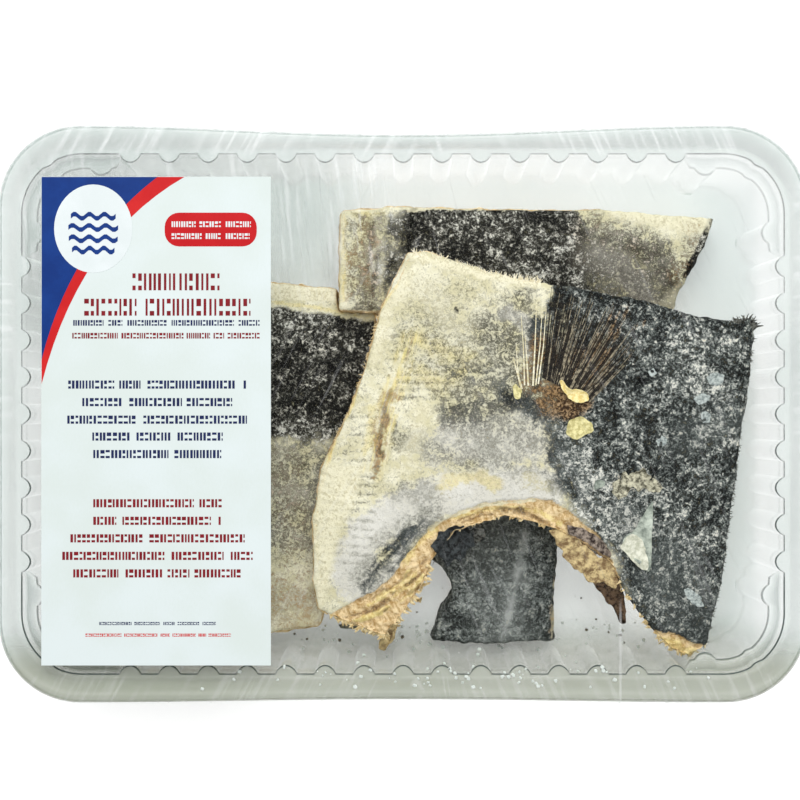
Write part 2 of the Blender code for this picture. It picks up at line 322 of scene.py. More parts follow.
@dataclass(frozen=True)
class ClearPlastic:
    """The tray's thin clear plastic, greyer at the rim, with painted dark fold lines where a wall bends and
    painted shade on its near side and on the far left of its floor.
    """

    name: str = "clear_fluted_plastic"
    tint: Colour = tone(158, 175, 168)
    near_shade_tint: Colour = tone(150, 156, 138)
    # The colour of the painted dark fold lines, where the clear wall bends.
    fold_shade: Colour = tone(70, 80, 78)
    thinnest: float = 0.035

    def material(self) -> bpy.types.Material:
        """Return the material."""
        sheet = ShaderSheet(self.name)
        cloud = sheet.noise(sheet.place(), 26.0, 0.0)
        fold_shade = sheet.painted("fold_shade")
        x, y, z = sheet.axes()
        # near: painted shade. On the near side, away from the lamp, the tint is stronger and turns darker and
        # yellower.
        near = (y * -1.0).rise(0.066, 0.084)
        rim = z.rise(0.033, 0.037)
        west = x * -1.0
        # left: painted shade. The tint is a little stronger towards the left end, and stronger still on the
        # floor's far left, as the shadow of the label and the left slab.
        left = west.rise(0.03, 0.12) * 0.2 + west.rise(0.0, 0.04) * y.rise(0.01, 0.04) * (1.0 - rim) * 0.9
        # The rim's tint is a little stronger along the far side and weaker at the left end.
        lip = rim * (y.rise(0.05, 0.085) * 0.16 - west.rise(0.1, 0.125) * 0.25 + 0.75)
        body = sheet.painted("body") * (near * 1.7 + lip + left + 0.95)
        # Painted fold lines: darker and more opaque where the wall bends, most on the near side and least on
        # the far side.
        folds = fold_shade * (y.rise(-0.09, 0.09) * -0.55 + 0.9)
        alpha = (cloud * 0.3 + 0.85) * body * 0.15 + self.thinnest + folds
        tint = sheet.mix(near, self.tint, self.near_shade_tint)
        return sheet.finish(
            {
                "Base Color": sheet.mix(fold_shade.rise(0.05, 0.6), tint, self.fold_shade),
                "Roughness": cloud * 0.12 + 0.06,
                "Specular IOR Level": 0.25,
                "Alpha": alpha,
            }
        )


@dataclass(frozen=True)
class StretchFilm:
    """Stretched wrap, all but clear on top, with fine white lines at the rim and sides: its stretch wrinkles,
    partly a painted highlight that is strongest on the far side, towards the lamp.
    """

    name: str = "stretch_film"
    tint: Colour = tone(254, 255, 255)
    fold_x: float = 69.5 * MM
    half_length: float = 121.0 * MM
    half_width: float = 82.0 * MM

    def material(self) -> bpy.types.Material:
        """Return the material."""
        sheet = ShaderSheet(self.name)
        x, y, z = sheet.axes()
        beyond_end = x.size() - self.half_length
        beyond_side = y.size() - self.half_width
        rim = beyond_end.at_least(beyond_side).rise(-0.001, 0.004)
        at_end = (beyond_end - beyond_side).rise(-0.006, 0.006)
        level = sheet.place((0.035, 1.0, 0.3))
        slanted = sheet.choose(
            x.rise(0.0, 0.02), sheet.place((0.06, 1.0, 0.3), 62.0), sheet.place((0.06, 1.0, 0.3), -66.0)
        )
        lines = sheet.noise(sheet.choose(at_end * rim, slanted, level), 1.5, 1.0)
        upper = z.rise(0.036, 0.039)
        fold = (1.0 - (x - self.fold_x).size().rise(0.0001, 0.0006)) * (y * -1.0).rise(0.058, 0.066)
        # far: the white lines are partly a painted highlight, strongest on the far side towards the lamp and
        # weakest on the near side.
        far = y.rise(-0.06, 0.05) * 0.6 + 0.4
        alpha = rim * upper * (lines.rise(0.46, 0.8) * far * 0.19 + 0.012) + fold * upper * 0.12 + 0.001
        alpha = alpha + (1.0 - rim) * lines.rise(0.61, 0.76) * 0.035
        # pulls: white pull lines in the film beside the label, partly a painted highlight on its wrinkles.
        pulls = sheet.noise(sheet.place((1.0, 0.07, 0.3), 6.0), 1.6, 2.0).rise(0.5, 0.72)
        alpha = alpha + pulls * (x * -1.0).rise(-0.002, 0.012) * y.rise(0.03, 0.05) * (1.0 - rim) * 0.12
        return sheet.finish(
            {"Base Color": self.tint, "Roughness": 0.08, "Specular IOR Level": 0.3, "Alpha": alpha}
        )


@dataclass(frozen=True)
class CoatedPaper:
    """The label's smooth white paper, with a faint fibre and a slight cockle."""

    name: str = "coated_label_paper"
    shade: Colour = tone(226, 236, 232, 1.12)
    light: Colour = tone(232, 242, 242, 1.12)

    def material(self) -> bpy.types.Material:
        """Return the material."""
        sheet = ShaderSheet(self.name)
        cockle = sheet.noise(sheet.place(), 26.0, 2.0)
        fibre = sheet.noise(sheet.place((1.0, 0.4, 1.0)), 0.7, 4.0)
        height = cockle * 0.7 + fibre * 0.3
        share = (cockle * 0.8 + fibre * 0.2).rise(0.35, 0.65)
        return sheet.finish(
            {
                "Base Color": sheet.mix(share, self.shade, self.light),
                "Roughness": fibre * 0.16 + 0.36,
                "Specular IOR Level": 0.2,
                "Normal": sheet.bump(height, 0.12, 0.5),
            }
        )


@dataclass(frozen=True)
class PrintInk:
    """A flat field of ink on the label, a little uneven and a little glossier than the paper."""

    name: str
    colour: Colour
    light: Colour

    def material(self) -> bpy.types.Material:
        """Return the material."""
        sheet = ShaderSheet(self.name)
        cloud = sheet.noise(sheet.place(), 9.0, 3.0)
        dots = sheet.noise(sheet.place(), 0.35, 2.0)
        share = (cloud * 0.7 + dots * 0.3).rise(0.36, 0.66)
        return sheet.finish(
            {
                "Base Color": sheet.mix(share, self.colour, self.light),
                "Roughness": dots * 0.14 + 0.3,
                "Specular IOR Level": 0.15,
                "Normal": sheet.bump(dots, 0.03, 0.4),
            }
        )


@dataclass(frozen=True)
class DriedFish:
    """Dry salted fish: pale and dark skin, salt bloom, stains and fibrous cut flesh, laid on by paint."""

    name: str
    pale: Colour = tone(240, 236, 210)
    pale_shade: Colour = tone(214, 208, 172)
    speck: Colour = tone(74, 73, 62)
    violet: Colour = tone(219, 219, 221)
    cream: Colour = tone(242, 237, 208)
    cream_shade: Colour = tone(213, 206, 172)
    dust: Colour = tone(150, 149, 132)
    yellow: Colour = tone(248, 234, 158)
    yellow_deep: Colour = tone(222, 200, 122)
    brown: Colour = tone(64, 44, 28)
    brown_light: Colour = tone(170, 138, 96)
    flesh: Colour = tone(244, 220, 174)
    flesh_deep: Colour = tone(174, 139, 84)
    black: Colour = tone(6, 6, 6)
    slate: Colour = tone(46, 46, 42)
    ash: Colour = tone(112, 111, 102)
    salt: Colour = tone(228, 228, 218)
    haze: Colour = tone(104, 108, 104)
    bloom: float = 0.0
    contrast: float = 1.0

    def material(self) -> bpy.types.Material:
        """Return the material."""
        sheet = ShaderSheet(self.name)
        place = sheet.place()
        cloud = sheet.noise(place, 9.0, 3.0, 0.6)
        mottle = sheet.noise(place, 2.8, 3.0, 0.68, 0.5)
        grain = sheet.noise(place, 0.85, 1.0, 0.6, 0.8)
        fibre = sheet.noise(sheet.place((1.0, 0.3, 3.0), 18.0), 1.5, 3.0, 0.7)

        def patch(pigment: str, broken: float = 1.0) -> Signal:
            """Return a painted share, broken up by the skin's mottling."""
            edge = (mottle - 0.5) * (1.1 * broken) + (grain - 0.5) * (0.9 * broken)
            return (sheet.painted(pigment) * 1.1 + edge - 0.05).rise(0.1, 0.9)

        pores = grain * 0.62 + mottle * 0.38
        skin = sheet.mix((cloud * 0.6 + mottle * 0.4).rise(0.4, 0.6), self.pale_shade, self.pale)
        skin = sheet.mix(patch("violet") * 0.6, skin, self.violet)
        gold = sheet.mix((fibre * 0.5 + grain * 0.5).rise(0.38, 0.6), self.yellow_deep, self.yellow)
        golden = patch("yellow") * 0.6
        skin = sheet.mix(golden, skin, gold)
        dusk = sheet.painted("grey")
        plain = 1.0 - sheet.painted("violet") * 0.55
        wrinkle = 1.0 - (mottle - 0.5).size().rise(0.003, 0.034)
        skin = sheet.mix((cloud * 0.45 + mottle * 0.55).rise(0.34, 0.62) * dusk * 0.8, skin, self.dust)
        skin = sheet.mix((dusk * 0.12 + pores).rise(0.5, 0.68) * (dusk * 0.4 + 0.5) * plain, skin, self.speck)
        skin = sheet.mix(wrinkle * (dusk * 0.6 + 0.15) * plain, skin, self.speck)
        mixed = grain * 0.38 + mottle * 0.42 + cloud * 0.2 + (sheet.painted("salt") + self.bloom) * 0.08
        mixed = (mixed - dusk * 0.07 - 0.53) * self.contrast + 0.53
        stops = ((0.42, self.black), (0.495, self.slate), (0.56, self.ash), (0.66, self.salt))
        dark = sheet.mix(sheet.painted("violet") * 0.55, sheet.ramp(mixed, stops), self.haze)
        skin = sheet.mix(patch("dark"), skin, sheet.mix(wrinkle * 0.4, dark, self.black))
        cut = sheet.mix((fibre * 0.75 + cloud * 0.25).rise(0.35, 0.62), self.flesh_deep, self.flesh)
        skin = sheet.mix(patch("flesh", 0.3), skin, sheet.mix(golden, cut, gold))
        cream = sheet.mix((pores * 0.85 + fibre * 0.15).rise(0.44, 0.62), self.cream, self.cream_shade)
        skin = sheet.mix(patch("cream") * 0.9, skin, cream)
        lines = sheet.noise(sheet.place((0.05, 1.0, 1.0), 74.0), 1.3, 2.0)
        streak = sheet.painted("streak")
        skin = sheet.mix(lines.rise(0.5, 0.6) * streak * 0.9, skin, gold)
        skin = sheet.mix((streak * 0.12 - lines).rise(-0.37, -0.28) * streak * 0.8, skin, self.brown_light)
        stain = sheet.mix(pores.rise(0.42, 0.62), self.brown, self.brown_light)
        skin = sheet.mix(patch("brown") * 0.8, skin, stain)
        height = mottle * 0.45 + grain * 0.35 + fibre * 0.2
        return sheet.finish(
            {
                "Base Color": skin,
                "Roughness": grain * 0.3 + 0.5,
                "Specular IOR Level": 0.06,
                "Normal": sheet.bump(height, 0.9, 0.7),
            }
        )


@dataclass(frozen=True)
class DryScrap:
    """A loose dry bit, such as a scale, a flake of fat, a fin ray or a salt grain."""

    name: str
    low: Colour
    high: Colour
    grain_mm: float = 1.2

    def material(self) -> bpy.types.Material:
        """Return the material."""
        sheet = ShaderSheet(self.name)
        cloud = sheet.noise(sheet.place(), self.grain_mm, 4.0, 0.7)
        inputs = {
            "Base Color": sheet.mix(cloud.rise(0.36, 0.64), self.low, self.high),
            "Roughness": cloud * 0.3 + 0.4,
            "Specular IOR Level": 0.12,
            "Normal": sheet.bump(cloud, 0.3, 0.6),
        }
        return sheet.finish(inputs)


@dataclass(frozen=True)
class StudioFloor:
    """The pale table, evenly glowing, with a painted pool of light under the collar's arch and painted shade
    under the tray's right end and far side.
    """

    name: str = "studio_floor"
    colour: Colour = (0.72, 0.72, 0.72)
    glow: float = 0.85

    def material(self) -> bpy.types.Material:
        """Return the material."""
        sheet = ShaderSheet(self.name)
        cloud = sheet.noise(sheet.place(), 120.0, 2.0)
        light = tuple(min(1.0, part + 0.02) for part in self.colour)
        x, y, _ = sheet.axes()
        south = y * -1.0
        # A painted pool of fill light under the collar's arch, where the glow is raised to lift the shade
        # that the cutlets cast there.
        arch_fill_patch = (x.rise(0.04, 0.055) + x.rise(0.068, 0.085) * 1.6) * (1.0 - x.rise(0.092, 0.104))
        arch_fill_patch = arch_fill_patch * south.rise(0.03, 0.055) * (1.0 - south.rise(0.078, 0.086))
        # Painted shade: the glow is lowered under the tray's right end and under its far side.
        east_shade_patch = x.rise(0.088, 0.108) * (1.0 - x.rise(0.12, 0.125)) * (1.0 - y.size().rise(0.075, 0.084))
        north_shade_patch = y.rise(0.058, 0.066) * (1.0 - y.rise(0.078, 0.084)) * (1.0 - x.size().rise(0.108, 0.118))
        glow = arch_fill_patch * 0.18 - east_shade_patch.at_least(north_shade_patch * 0.5) * 0.14 + 0.53
        # Under the tray's right end the glow also turns slightly cyan: a painted tint of light.
        lamp = sheet.mix(east_shade_patch, (1.0, 1.0, 1.0), (0.93, 1.0, 0.99))
        return sheet.finish(
            {
                "Base Color": sheet.mix(cloud, self.colour, light),
                "Roughness": 0.7,
                "Specular IOR Level": 0.2,
                "Emission Color": sheet.mix(glow, (0.0, 0.0, 0.0), lamp),
                "Emission Strength": self.glow,
            }
        )


def select_only(*pieces: Piece) -> None:
    """Select these objects alone and make the first one active.

    Args:
        *pieces: The objects, or none.
    """
    if bpy.context.object is not None and bpy.context.object.mode != "OBJECT":
        bpy.ops.object.mode_set(mode="OBJECT")
    bpy.ops.object.select_all(action="DESELECT")
    for piece in pieces:
        piece.select_set(True)
    if pieces:
        bpy.context.view_layer.objects.active = pieces[0]


@contextmanager
def whole_mesh() -> Iterator[None]:
    """Edit the active mesh with all of it selected."""
    bpy.ops.object.mode_set(mode="EDIT")
    bpy.ops.mesh.select_all(action="SELECT")
    yield
    bpy.ops.object.mode_set(mode="OBJECT")


def apply_modifier(piece: Piece, kind: str, **settings: Any) -> None:
    """Give a piece a modifier and apply it.

    Args:
        piece: The piece.
        kind: The modifier's type.
        **settings: The modifier's settings.
    """
    select_only(piece)
    modifier = piece.modifiers.new(kind.lower(), kind)
    for name, value in settings.items():
        setattr(modifier, name, value)
    bpy.ops.object.modifier_apply(modifier=modifier.name)


def points_of(piece: Piece) -> np.ndarray:
    """Return a mesh's points.

    Args:
        piece: The mesh.

    Returns:
        Rows of X, Y and Z.
    """
    flat = np.empty(len(piece.data.vertices) * 3)
    piece.data.vertices.foreach_get("co", flat)
    return flat.reshape(-1, 3)


def move_points(piece: Piece, points: np.ndarray) -> None:
    """Put a mesh's points in new places."""
    piece.data.vertices.foreach_set("co", points.ravel())
    piece.data.update()


def paint(piece: Piece, name: str, values: np.ndarray) -> None:
    """Keep one number for each point of a mesh, for its material to read.

    Args:
        piece: The mesh.
        name: The attribute's name.
        values: The numbers.
    """
    layer = piece.data.attributes.get(name) or piece.data.attributes.new(name, "FLOAT", "POINT")
    layer.data.foreach_set("value", np.asarray(values, dtype=np.float32))


def mesh_piece(name: str, points: Sequence[np.ndarray], faces: list[tuple[int, ...]]) -> Piece:
    """Return one mesh made of many small ones.

    Args:
        name: The piece's name.
        points: The points of each small mesh.
        faces: Every face's corners, counted through all of them.

    Returns:
        The piece.
    """
    mesh = bpy.data.meshes.new(name)
    mesh.from_pydata(np.concatenate(points).tolist(), [], faces)
    piece = bpy.data.objects.new(name, mesh)
    bpy.context.scene.collection.objects.link(piece)
    return piece


def join(name: str, pieces: Sequence[Piece]) -> Piece:
    """Join pieces into one and name it.

    Args:
        name: The whole's name.
        pieces: What is joined.

    Returns:
        The whole.
    """
    select_only(*pieces)
    if len(pieces) > 1:
        bpy.ops.object.join()
    whole = bpy.context.view_layer.objects.active
    whole.name = name
    whole.data.name = name
    return whole


def dress(piece: Piece, material: bpy.types.Material, angle: float = 40.0) -> Piece:
    """Shade a finished piece, give it its material and slot, and let it ride on the pack.

    Args:
        piece: The finished mesh.
        material: Its material.
        angle: The sharpest bend, in degrees, that still looks smooth.

    Returns:
        The piece.
    """
    piece.data.materials.clear()
    piece.data.materials.append(material)
    select_only(piece)
    bpy.ops.object.shade_smooth_by_angle(angle=math.radians(angle))
    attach(piece, "root")
    LOG.info("%s: %d points, %d faces", piece.name, len(piece.data.vertices), len(piece.data.polygons))
    return piece


def step(values: np.ndarray, start: float, end: float) -> np.ndarray:
    """Return a smooth step for every value.

    Args:
        values: The values.
        start: The highest one that gives 0.
        end: The lowest one that gives 1.

    Returns:
        The shares, from 0 to 1.
    """
    share = np.clip((values - start) / (end - start), 0.0, 1.0)
    return share * share * (3.0 - 2.0 * share)


class Roughcast:
    """Smooth seeded noise for many points at once."""

    TABLE_SIZE = 8192
    MIXERS = (73856093, 19349663, 83492791)
    LAYER_SHIFT = 37.0

    def __init__(self, seed: int) -> None:
        """Shuffle the table that the noise is read from."""
        self.table = np.random.default_rng(seed).uniform(-1.0, 1.0, self.TABLE_SIZE)

    def single(self, points: np.ndarray, grain: float) -> np.ndarray:
        """Return one layer of noise.

        Args:
            points: Where it is read.
            grain: The width of its clouds.

        Returns:
            The noise, from -1 to 1.
        """
        cell = points / grain
        base = np.floor(cell).astype(np.int64)
        share = cell - base
        share = share * share * (3.0 - 2.0 * share)
        total = np.zeros(len(points))
        for corner in range(8):
            offset = np.array([corner & 1, corner >> 1 & 1, corner >> 2 & 1])
            index = np.bitwise_xor.reduce((base + offset) * self.MIXERS, axis=1) & self.TABLE_SIZE - 1
            weight = np.prod(np.where(offset == 1, share, 1.0 - share), axis=1)
            total += weight * self.table[index]
        return total

    def layered(self, points: np.ndarray, grain: float, layers: int = 3, fade: float = 0.55) -> np.ndarray:
        """Return several layers of noise, each twice as fine as the one before.

        Args:
            points: Where it is read.
            grain: The width of the coarsest clouds.
            layers: How many layers there are.
            fade: The strength of each layer, as a share of the one before.

        Returns:
            The noise.
        """
        total = np.zeros(len(points))
        for layer in range(layers):
            total += fade**layer * self.single(points + self.LAYER_SHIFT * layer, grain * 0.5**layer)
        return total


def path_distance(spots: np.ndarray, path: Sequence[Spot], closed: bool) -> np.ndarray:
    """Measure how far places are from a line.

    Args:
        spots: The places, as rows of X and Y.
        path: The line's points.
        closed: True if the line bounds a field; the distance is then negative inside it.

    Returns:
        The distance of each place.
    """
    corners = np.array(path)
    ends = np.roll(corners, -1, axis=0) if closed else corners[1:]
    nearest = np.full(len(spots), np.inf)
    inside = np.zeros(len(spots), dtype=bool)
    for start, end in zip(corners, ends):
        along = end - start
        offset = spots - start
        share = np.clip(offset @ along / max(along @ along, 1e-12), 0.0, 1.0)
        nearest = np.minimum(nearest, np.linalg.norm(offset - share[:, None] * along, axis=1))
        if closed and start[1] != end[1]:
            between = (start[1] > spots[:, 1]) != (end[1] > spots[:, 1])
            crossing = start[0] + (spots[:, 1] - start[1]) / (end[1] - start[1]) * (end[0] - start[0])
            inside ^= between & (spots[:, 0] < crossing)
    return np.where(inside, -nearest, nearest)


def unit_rows(rows: np.ndarray) -> np.ndarray:
    """Return each row scaled to a length of one."""
    return rows / np.maximum(np.linalg.norm(rows, axis=1), 1e-6)[:, None]


def between(corners: np.ndarray, low: int | np.ndarray, share: float | np.ndarray) -> np.ndarray:
    """Return the point that lies a share of the way from one corner to the next, or many such points."""
    return corners[low] * (1.0 - share) + corners[low + 1] * share


def point_at(corners: np.ndarray, place: float) -> np.ndarray:
    """Return the point at a place along a path, counted in corners from its start."""
    low = min(int(place), len(corners) - 2)
    return between(corners, low, place - low)


class Course:
    """A path of straight stretches, with the distances along it."""

    def __init__(self, spots: Sequence[Spot]) -> None:
        """Measure the stretches."""
        self.corners = np.array(spots)
        self.lengths = np.linalg.norm(np.diff(self.corners, axis=0), axis=1)
        self.ends = np.concatenate([[0.0], np.cumsum(self.lengths)])

    def find(self, at: float) -> tuple[int, float]:
        """Find a distance along the path.

        Args:
            at: The distance from its start.

        Returns:
            The stretch that it falls on, and how far along that stretch it lies.
        """
        index = min(int(np.searchsorted(self.ends, at, side="right")) - 1, len(self.lengths) - 1)
        return index, at - self.ends[index]


@dataclass(frozen=True)
class WallStop:
    """One place on the way round a rounded box: its side or corner, and what happens to the wall there."""

    flat: Spot
    outward: Spot
    rib: float = 0.0
    lower_rib: float = 0.0
    post: float = 0.0
    nick: float = 0.0


@dataclass(frozen=True)
class WallLevel:
    """One height of a rounded box's wall, in millimetres."""

    radius: float
    height: float
    flat: Spot = (103.9, 64.7)
    bow: float = 0.0
    rib: float = 0.0
    lower: float = 0.0
    fold_shade: float = 0.0
    body: float = 0.0

    def fold_shade_at(self, stop: WallStop) -> float:
        """Return how dark the painted fold line is at a stop: painted shade standing in for the light that
        the clear wall bends away where it is seen edge-on.

        Args:
            stop: The place on the way round.

        Returns:
            The darkness, from 0 to 1: the lower wall's folds show most at the posts, the others at the ribs.
        """
        if self.lower:
            return self.fold_shade * (0.25 + 0.75 * stop.post)
        return self.fold_shade * (0.55 + 0.45 * max(stop.rib, stop.lower_rib, 0.6 * stop.post))


@dataclass(frozen=True)
class RoundedBox:
    """What the tray and the film share: a wall that runs round a box with rounded corners."""

    far_bow: float = 2.9
    near_bow: float = 1.0
    rib_depth: float = 2.8
    post_depth: float = 3.4
    nick_depth: float = 0.8

    def point(self, stop: WallStop, level: WallLevel) -> Vector:
        """Return the wall's point at a stop and a level.

        Args:
            stop: The place on the way round.
            level: The wall's level.

        Returns:
            The point, in metres.
        """
        flat_x, flat_y = level.flat
        outward_x, outward_y = stop.outward
        inward = level.rib * stop.rib * self.rib_depth
        inward += level.lower * (stop.lower_rib * self.rib_depth + stop.post * self.post_depth)
        inward += stop.nick * self.nick_depth * min(1.0, level.rib + level.lower)
        reach = level.radius - inward
        x = stop.flat[0] * flat_x + outward_x * reach
        y = stop.flat[1] * flat_y + outward_y * reach
        faces_a_long_side = abs(outward_y) > 0.99
        if abs(stop.flat[1]) == 1.0 and faces_a_long_side:
            bow = (self.far_bow if y > 0 else self.near_bow) * level.bow
            y -= math.copysign(bow * 0.5 * (1.0 + math.cos(math.pi * stop.flat[0])), y)
        return Vector((x, y, level.height)) * MM

    def build(
        self, name: str, stops: Sequence[WallStop], levels: Sequence[WallLevel], thickness: float
    ) -> Piece:
        """Wrap a grid round the box, close its last ring and give it thickness below the surface.

        Args:
            name: The piece's name.
            stops: The places on the way round, anticlockwise.
            levels: The wall's levels, the last one being the ring that is filled.
            thickness: The wall's thickness in metres.

        Returns:
            The closed shell.
        """
        select_only()
        bpy.ops.mesh.primitive_grid_add(x_subdivisions=len(stops), y_subdivisions=len(levels) - 1, size=1.0)
        shell = bpy.context.active_object
        shell.name = name
        fold_shades, bodies = [], []
        for vertex in shell.data.vertices:
            stop = stops[round((vertex.co.x + 0.5) * len(stops)) % len(stops)]
            level = levels[round((vertex.co.y + 0.5) * (len(levels) - 1))]
            vertex.co = self.point(stop, level)
            fold_shades.append(level.fold_shade_at(stop))
            bodies.append(level.body)
        # Painted dark fold lines: how dark each point of the wall is drawn where it bends, in place of the
        # light the clear wall bends away when seen edge-on.
        paint(shell, "fold_shade", np.array(fold_shades))
        paint(shell, "body", np.array(bodies))
        last = levels[-1].height * MM
        bpy.ops.object.mode_set(mode="EDIT")
        bpy.ops.mesh.select_mode(type="EDGE")
        bpy.ops.mesh.select_all(action="SELECT")
        bpy.ops.mesh.remove_doubles(threshold=0.001 * MM)
        bpy.ops.mesh.select_all(action="DESELECT")
        bpy.ops.mesh.select_non_manifold(extend=False, use_boundary=True)
        bpy.ops.object.mode_set(mode="OBJECT")
        for edge in shell.data.edges:
            edge.select = edge.select and all(
                abs(shell.data.vertices[end].co.z - last) < 0.01 * MM for end in edge.vertices
            )
        bpy.ops.object.mode_set(mode="EDIT")
        bpy.ops.mesh.edge_face_add()
        bpy.ops.mesh.select_all(action="SELECT")
        bpy.ops.mesh.normals_make_consistent(inside=False)
        bpy.ops.object.mode_set(mode="OBJECT")
        biggest = max(shell.data.polygons, key=lambda face: face.area)
        if biggest.normal.z < 0.0:
            with whole_mesh():
                bpy.ops.mesh.flip_normals()
        apply_modifier(shell, "SOLIDIFY", thickness=thickness, offset=-1.0, use_even_offset=False)
        return shell


@dataclass(frozen=True)
class Side:
    """One straight side of the pack: whether it runs along X, and on which side of the middle it is."""

    along_x: bool
    sign: float

    def stop(self, share: float, *shape: float) -> WallStop:
        """Return a stop on the side.

        Args:
            share: How far it is from the side's middle, from -1 to 1.
            *shape: What happens to the wall there.

        Returns:
            The stop.
        """
        if self.along_x:
            return WallStop((share, self.sign), (0.0, self.sign), *shape)
        return WallStop((self.sign, share), (self.sign, 0.0), *shape)

    def anticlockwise(self, stops: list[WallStop]) -> list[WallStop]:
        """Return stops that run towards positive X or Y in the order that runs anticlockwise."""
        return stops if (self.sign < 0) == self.along_x else stops[::-1]


SIDES = (Side(True, -1.0), Side(False, 1.0), Side(True, 1.0), Side(False, -1.0))


def corner_stops(quarter: int, steps: int, post: float = 0.0, nick_at: float = 57.0) -> list[WallStop]:
    """Return the stops round one corner.

    Args:
        quarter: 0 for the near right corner, and on anticlockwise.
        steps: How many stops there are between its two ends.
        post: How far the lower wall stands in.
        nick_at: The angle from the pack's length at which the wall has its short seam.

    Returns:
        The stops.
    """
    flats = ((1.0, -1.0), (1.0, 1.0), (-1.0, 1.0), (-1.0, -1.0))
    stops = []
    for index in range(steps + 1):
        angle = math.radians(-90.0 + 90.0 * quarter + 90.0 * index / steps)
        outward = (math.cos(angle), math.sin(angle))
        slope = math.degrees(math.atan2(abs(outward[1]), abs(outward[0])))
        nick = max(0.0, 1.0 - abs(slope - nick_at) / 7.0)
        stops.append(WallStop(flats[quarter], outward, post=post, nick=nick if post else 0.0))
    return stops


@dataclass
class FlutedTray:
    """The clear tray: rolled rim, sloped shoulder, scalloped ledge, fluted wall and floor.

    The long and the short side are each given by half their flat length, the ribs' pitch, how many ribs
    there are, and how far from the middle the lower wall's last rib is.
    """

    box: RoundedBox = RoundedBox()
    thickness: float = 0.42 * MM
    long_side: tuple[float, float, int, float] = (103.9, 12.62, 15, 98.8)
    short_side: tuple[float, float, int, float] = (64.7, 11.96, 9, 59.3)
    rib_half_width: float = 3.5
    corner_steps: int = 20

    def side_stops(self, side: Side) -> list[WallStop]:
        """Return the stops along one straight side, in the order that runs anticlockwise.

        Args:
            side: The side.

        Returns:
            The stops.
        """
        flat, pitch, count, end_rib = self.long_side if side.along_x else self.short_side
        centres = [pitch * (index - (count - 1) / 2.0) for index in range(count)]
        last = centres[-1] + self.rib_half_width
        offsets = [self.rib_half_width * math.sin(math.pi * tenth / 10.0) for tenth in range(-5, 6)]
        places = {round(centre + offset, 3) for centre in (*centres, -end_rib, end_rib) for offset in offsets}
        places |= {round(centre + pitch / 2.0, 3) for centre in centres[:-1]}
        places |= {round(end * (last + 0.5 * half), 3) for end in (-1, 1) for half in range(1, 5)}
        stops = []
        for place in sorted(place for place in places if abs(place) < flat - 0.2):
            rib = max(self.dip(place - centre) for centre in centres)
            lower_rib = max(self.dip(abs(place) - end_rib), 0.0)
            post = min(1.0, max(0.0, (abs(place) - last) / 2.2))
            stops.append(side.stop(place / flat, rib, lower_rib * 0.8, post))
        return side.anticlockwise(stops)

    def dip(self, offset: float) -> float:
        """Return a rib's depth.

        Args:
            offset: The distance from its middle.

        Returns:
            The depth, as a share.
        """
        if abs(offset) >= self.rib_half_width:
            return 0.0
        return (1.0 - (offset / self.rib_half_width) ** 2) ** 0.8

    def levels(self) -> list[WallLevel]:
        """Return the levels of the tray's upper surface, from the rim's lip to the floor."""
        rim = [
            (26.1, 37.6, (103.6, 66.4), 1.0, 0.3, 0.8),
            (26.1, 39.9, (103.6, 66.4), 1.0, 0.0, 0.8),
            (25.9, 40.6, (103.6, 66.4), 1.0, 0.0, 0.9),
            (25.3, 41.0, (103.6, 66.4), 1.0, 0.0, 1.0),
            (24.2, 41.0, (103.6, 66.2), 0.95, 0.0, 1.15),
            (23.3, 40.6, (103.7, 65.9), 0.85, 0.0, 1.15),
            (22.4, 39.2, (103.8, 65.4), 0.6, 0.0, 1.15),
            (21.4, 36.6, (103.9, 64.9), 0.2, 0.0, 1.15),
        ]
        wall = [
            (20.9, 35.7, 0.0, 0.0, 0.0, 1.15),
            (20.3, 35.45, 0.0, 0.0, 0.0, 1.15),
            (19.8, 35.4, 1.0, 0.0, 0.0, 1.15),
            (19.62, 35.35, 1.0, 0.0, 1.0, 1.1),
            (19.42, 35.1, 1.0, 0.0, 1.0, 1.1),
            (19.34, 34.8, 1.0, 0.0, 0.0, 1.1),
            (19.1, 31.6, 1.0, 0.0, 0.0, 1.1),
            (19.0, 31.1, 1.0, 0.1, 0.25, 1.1),
            (18.95, 30.7, 1.0, 0.9, 0.0, 1.1),
            (18.9, 30.2, 1.0, 1.0, 0.62, 1.1),
            (18.8, 29.6, 1.0, 1.0, 0.0, 1.1),
            (18.1, 9.0, 1.0, 1.0, 0.0, 1.1),
            (17.7, 3.4, 1.0, 1.0, 0.0, 1.1),
            (17.2, 1.9, 0.9, 1.0, 0.06, 1.1),
            (16.2, 1.15, 0.6, 0.9, 0.0, 1.1),
            (14.8, TRAY_FLOOR_MM, 0.25, 0.6, 0.0, 1.1),
            (12.0, TRAY_FLOOR_MM, 0.0, 0.2, 0.0, 1.1),
            (8.0, TRAY_FLOOR_MM, 0.0, 0.0, 0.0, 1.1),
        ]
        upper = [WallLevel(*row[:4], fold_shade=row[4], body=row[5]) for row in rim]
        names = ("radius", "height", "rib", "lower", "fold_shade", "body")
        return upper + [WallLevel(**dict(zip(names, row, strict=True))) for row in wall]

    def build(self) -> Piece:
        """Build the tray in place of its CAD node."""
        stops = []
        for quarter, side in enumerate(SIDES):
            stops += self.side_stops(side) + corner_stops(quarter, self.corner_steps, 1.0)
        tray = self.box.build("clear_tray_shell", stops, self.levels(), self.thickness)
        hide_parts("tray")
        return dress(tray, ClearPlastic().material(), 50.0)


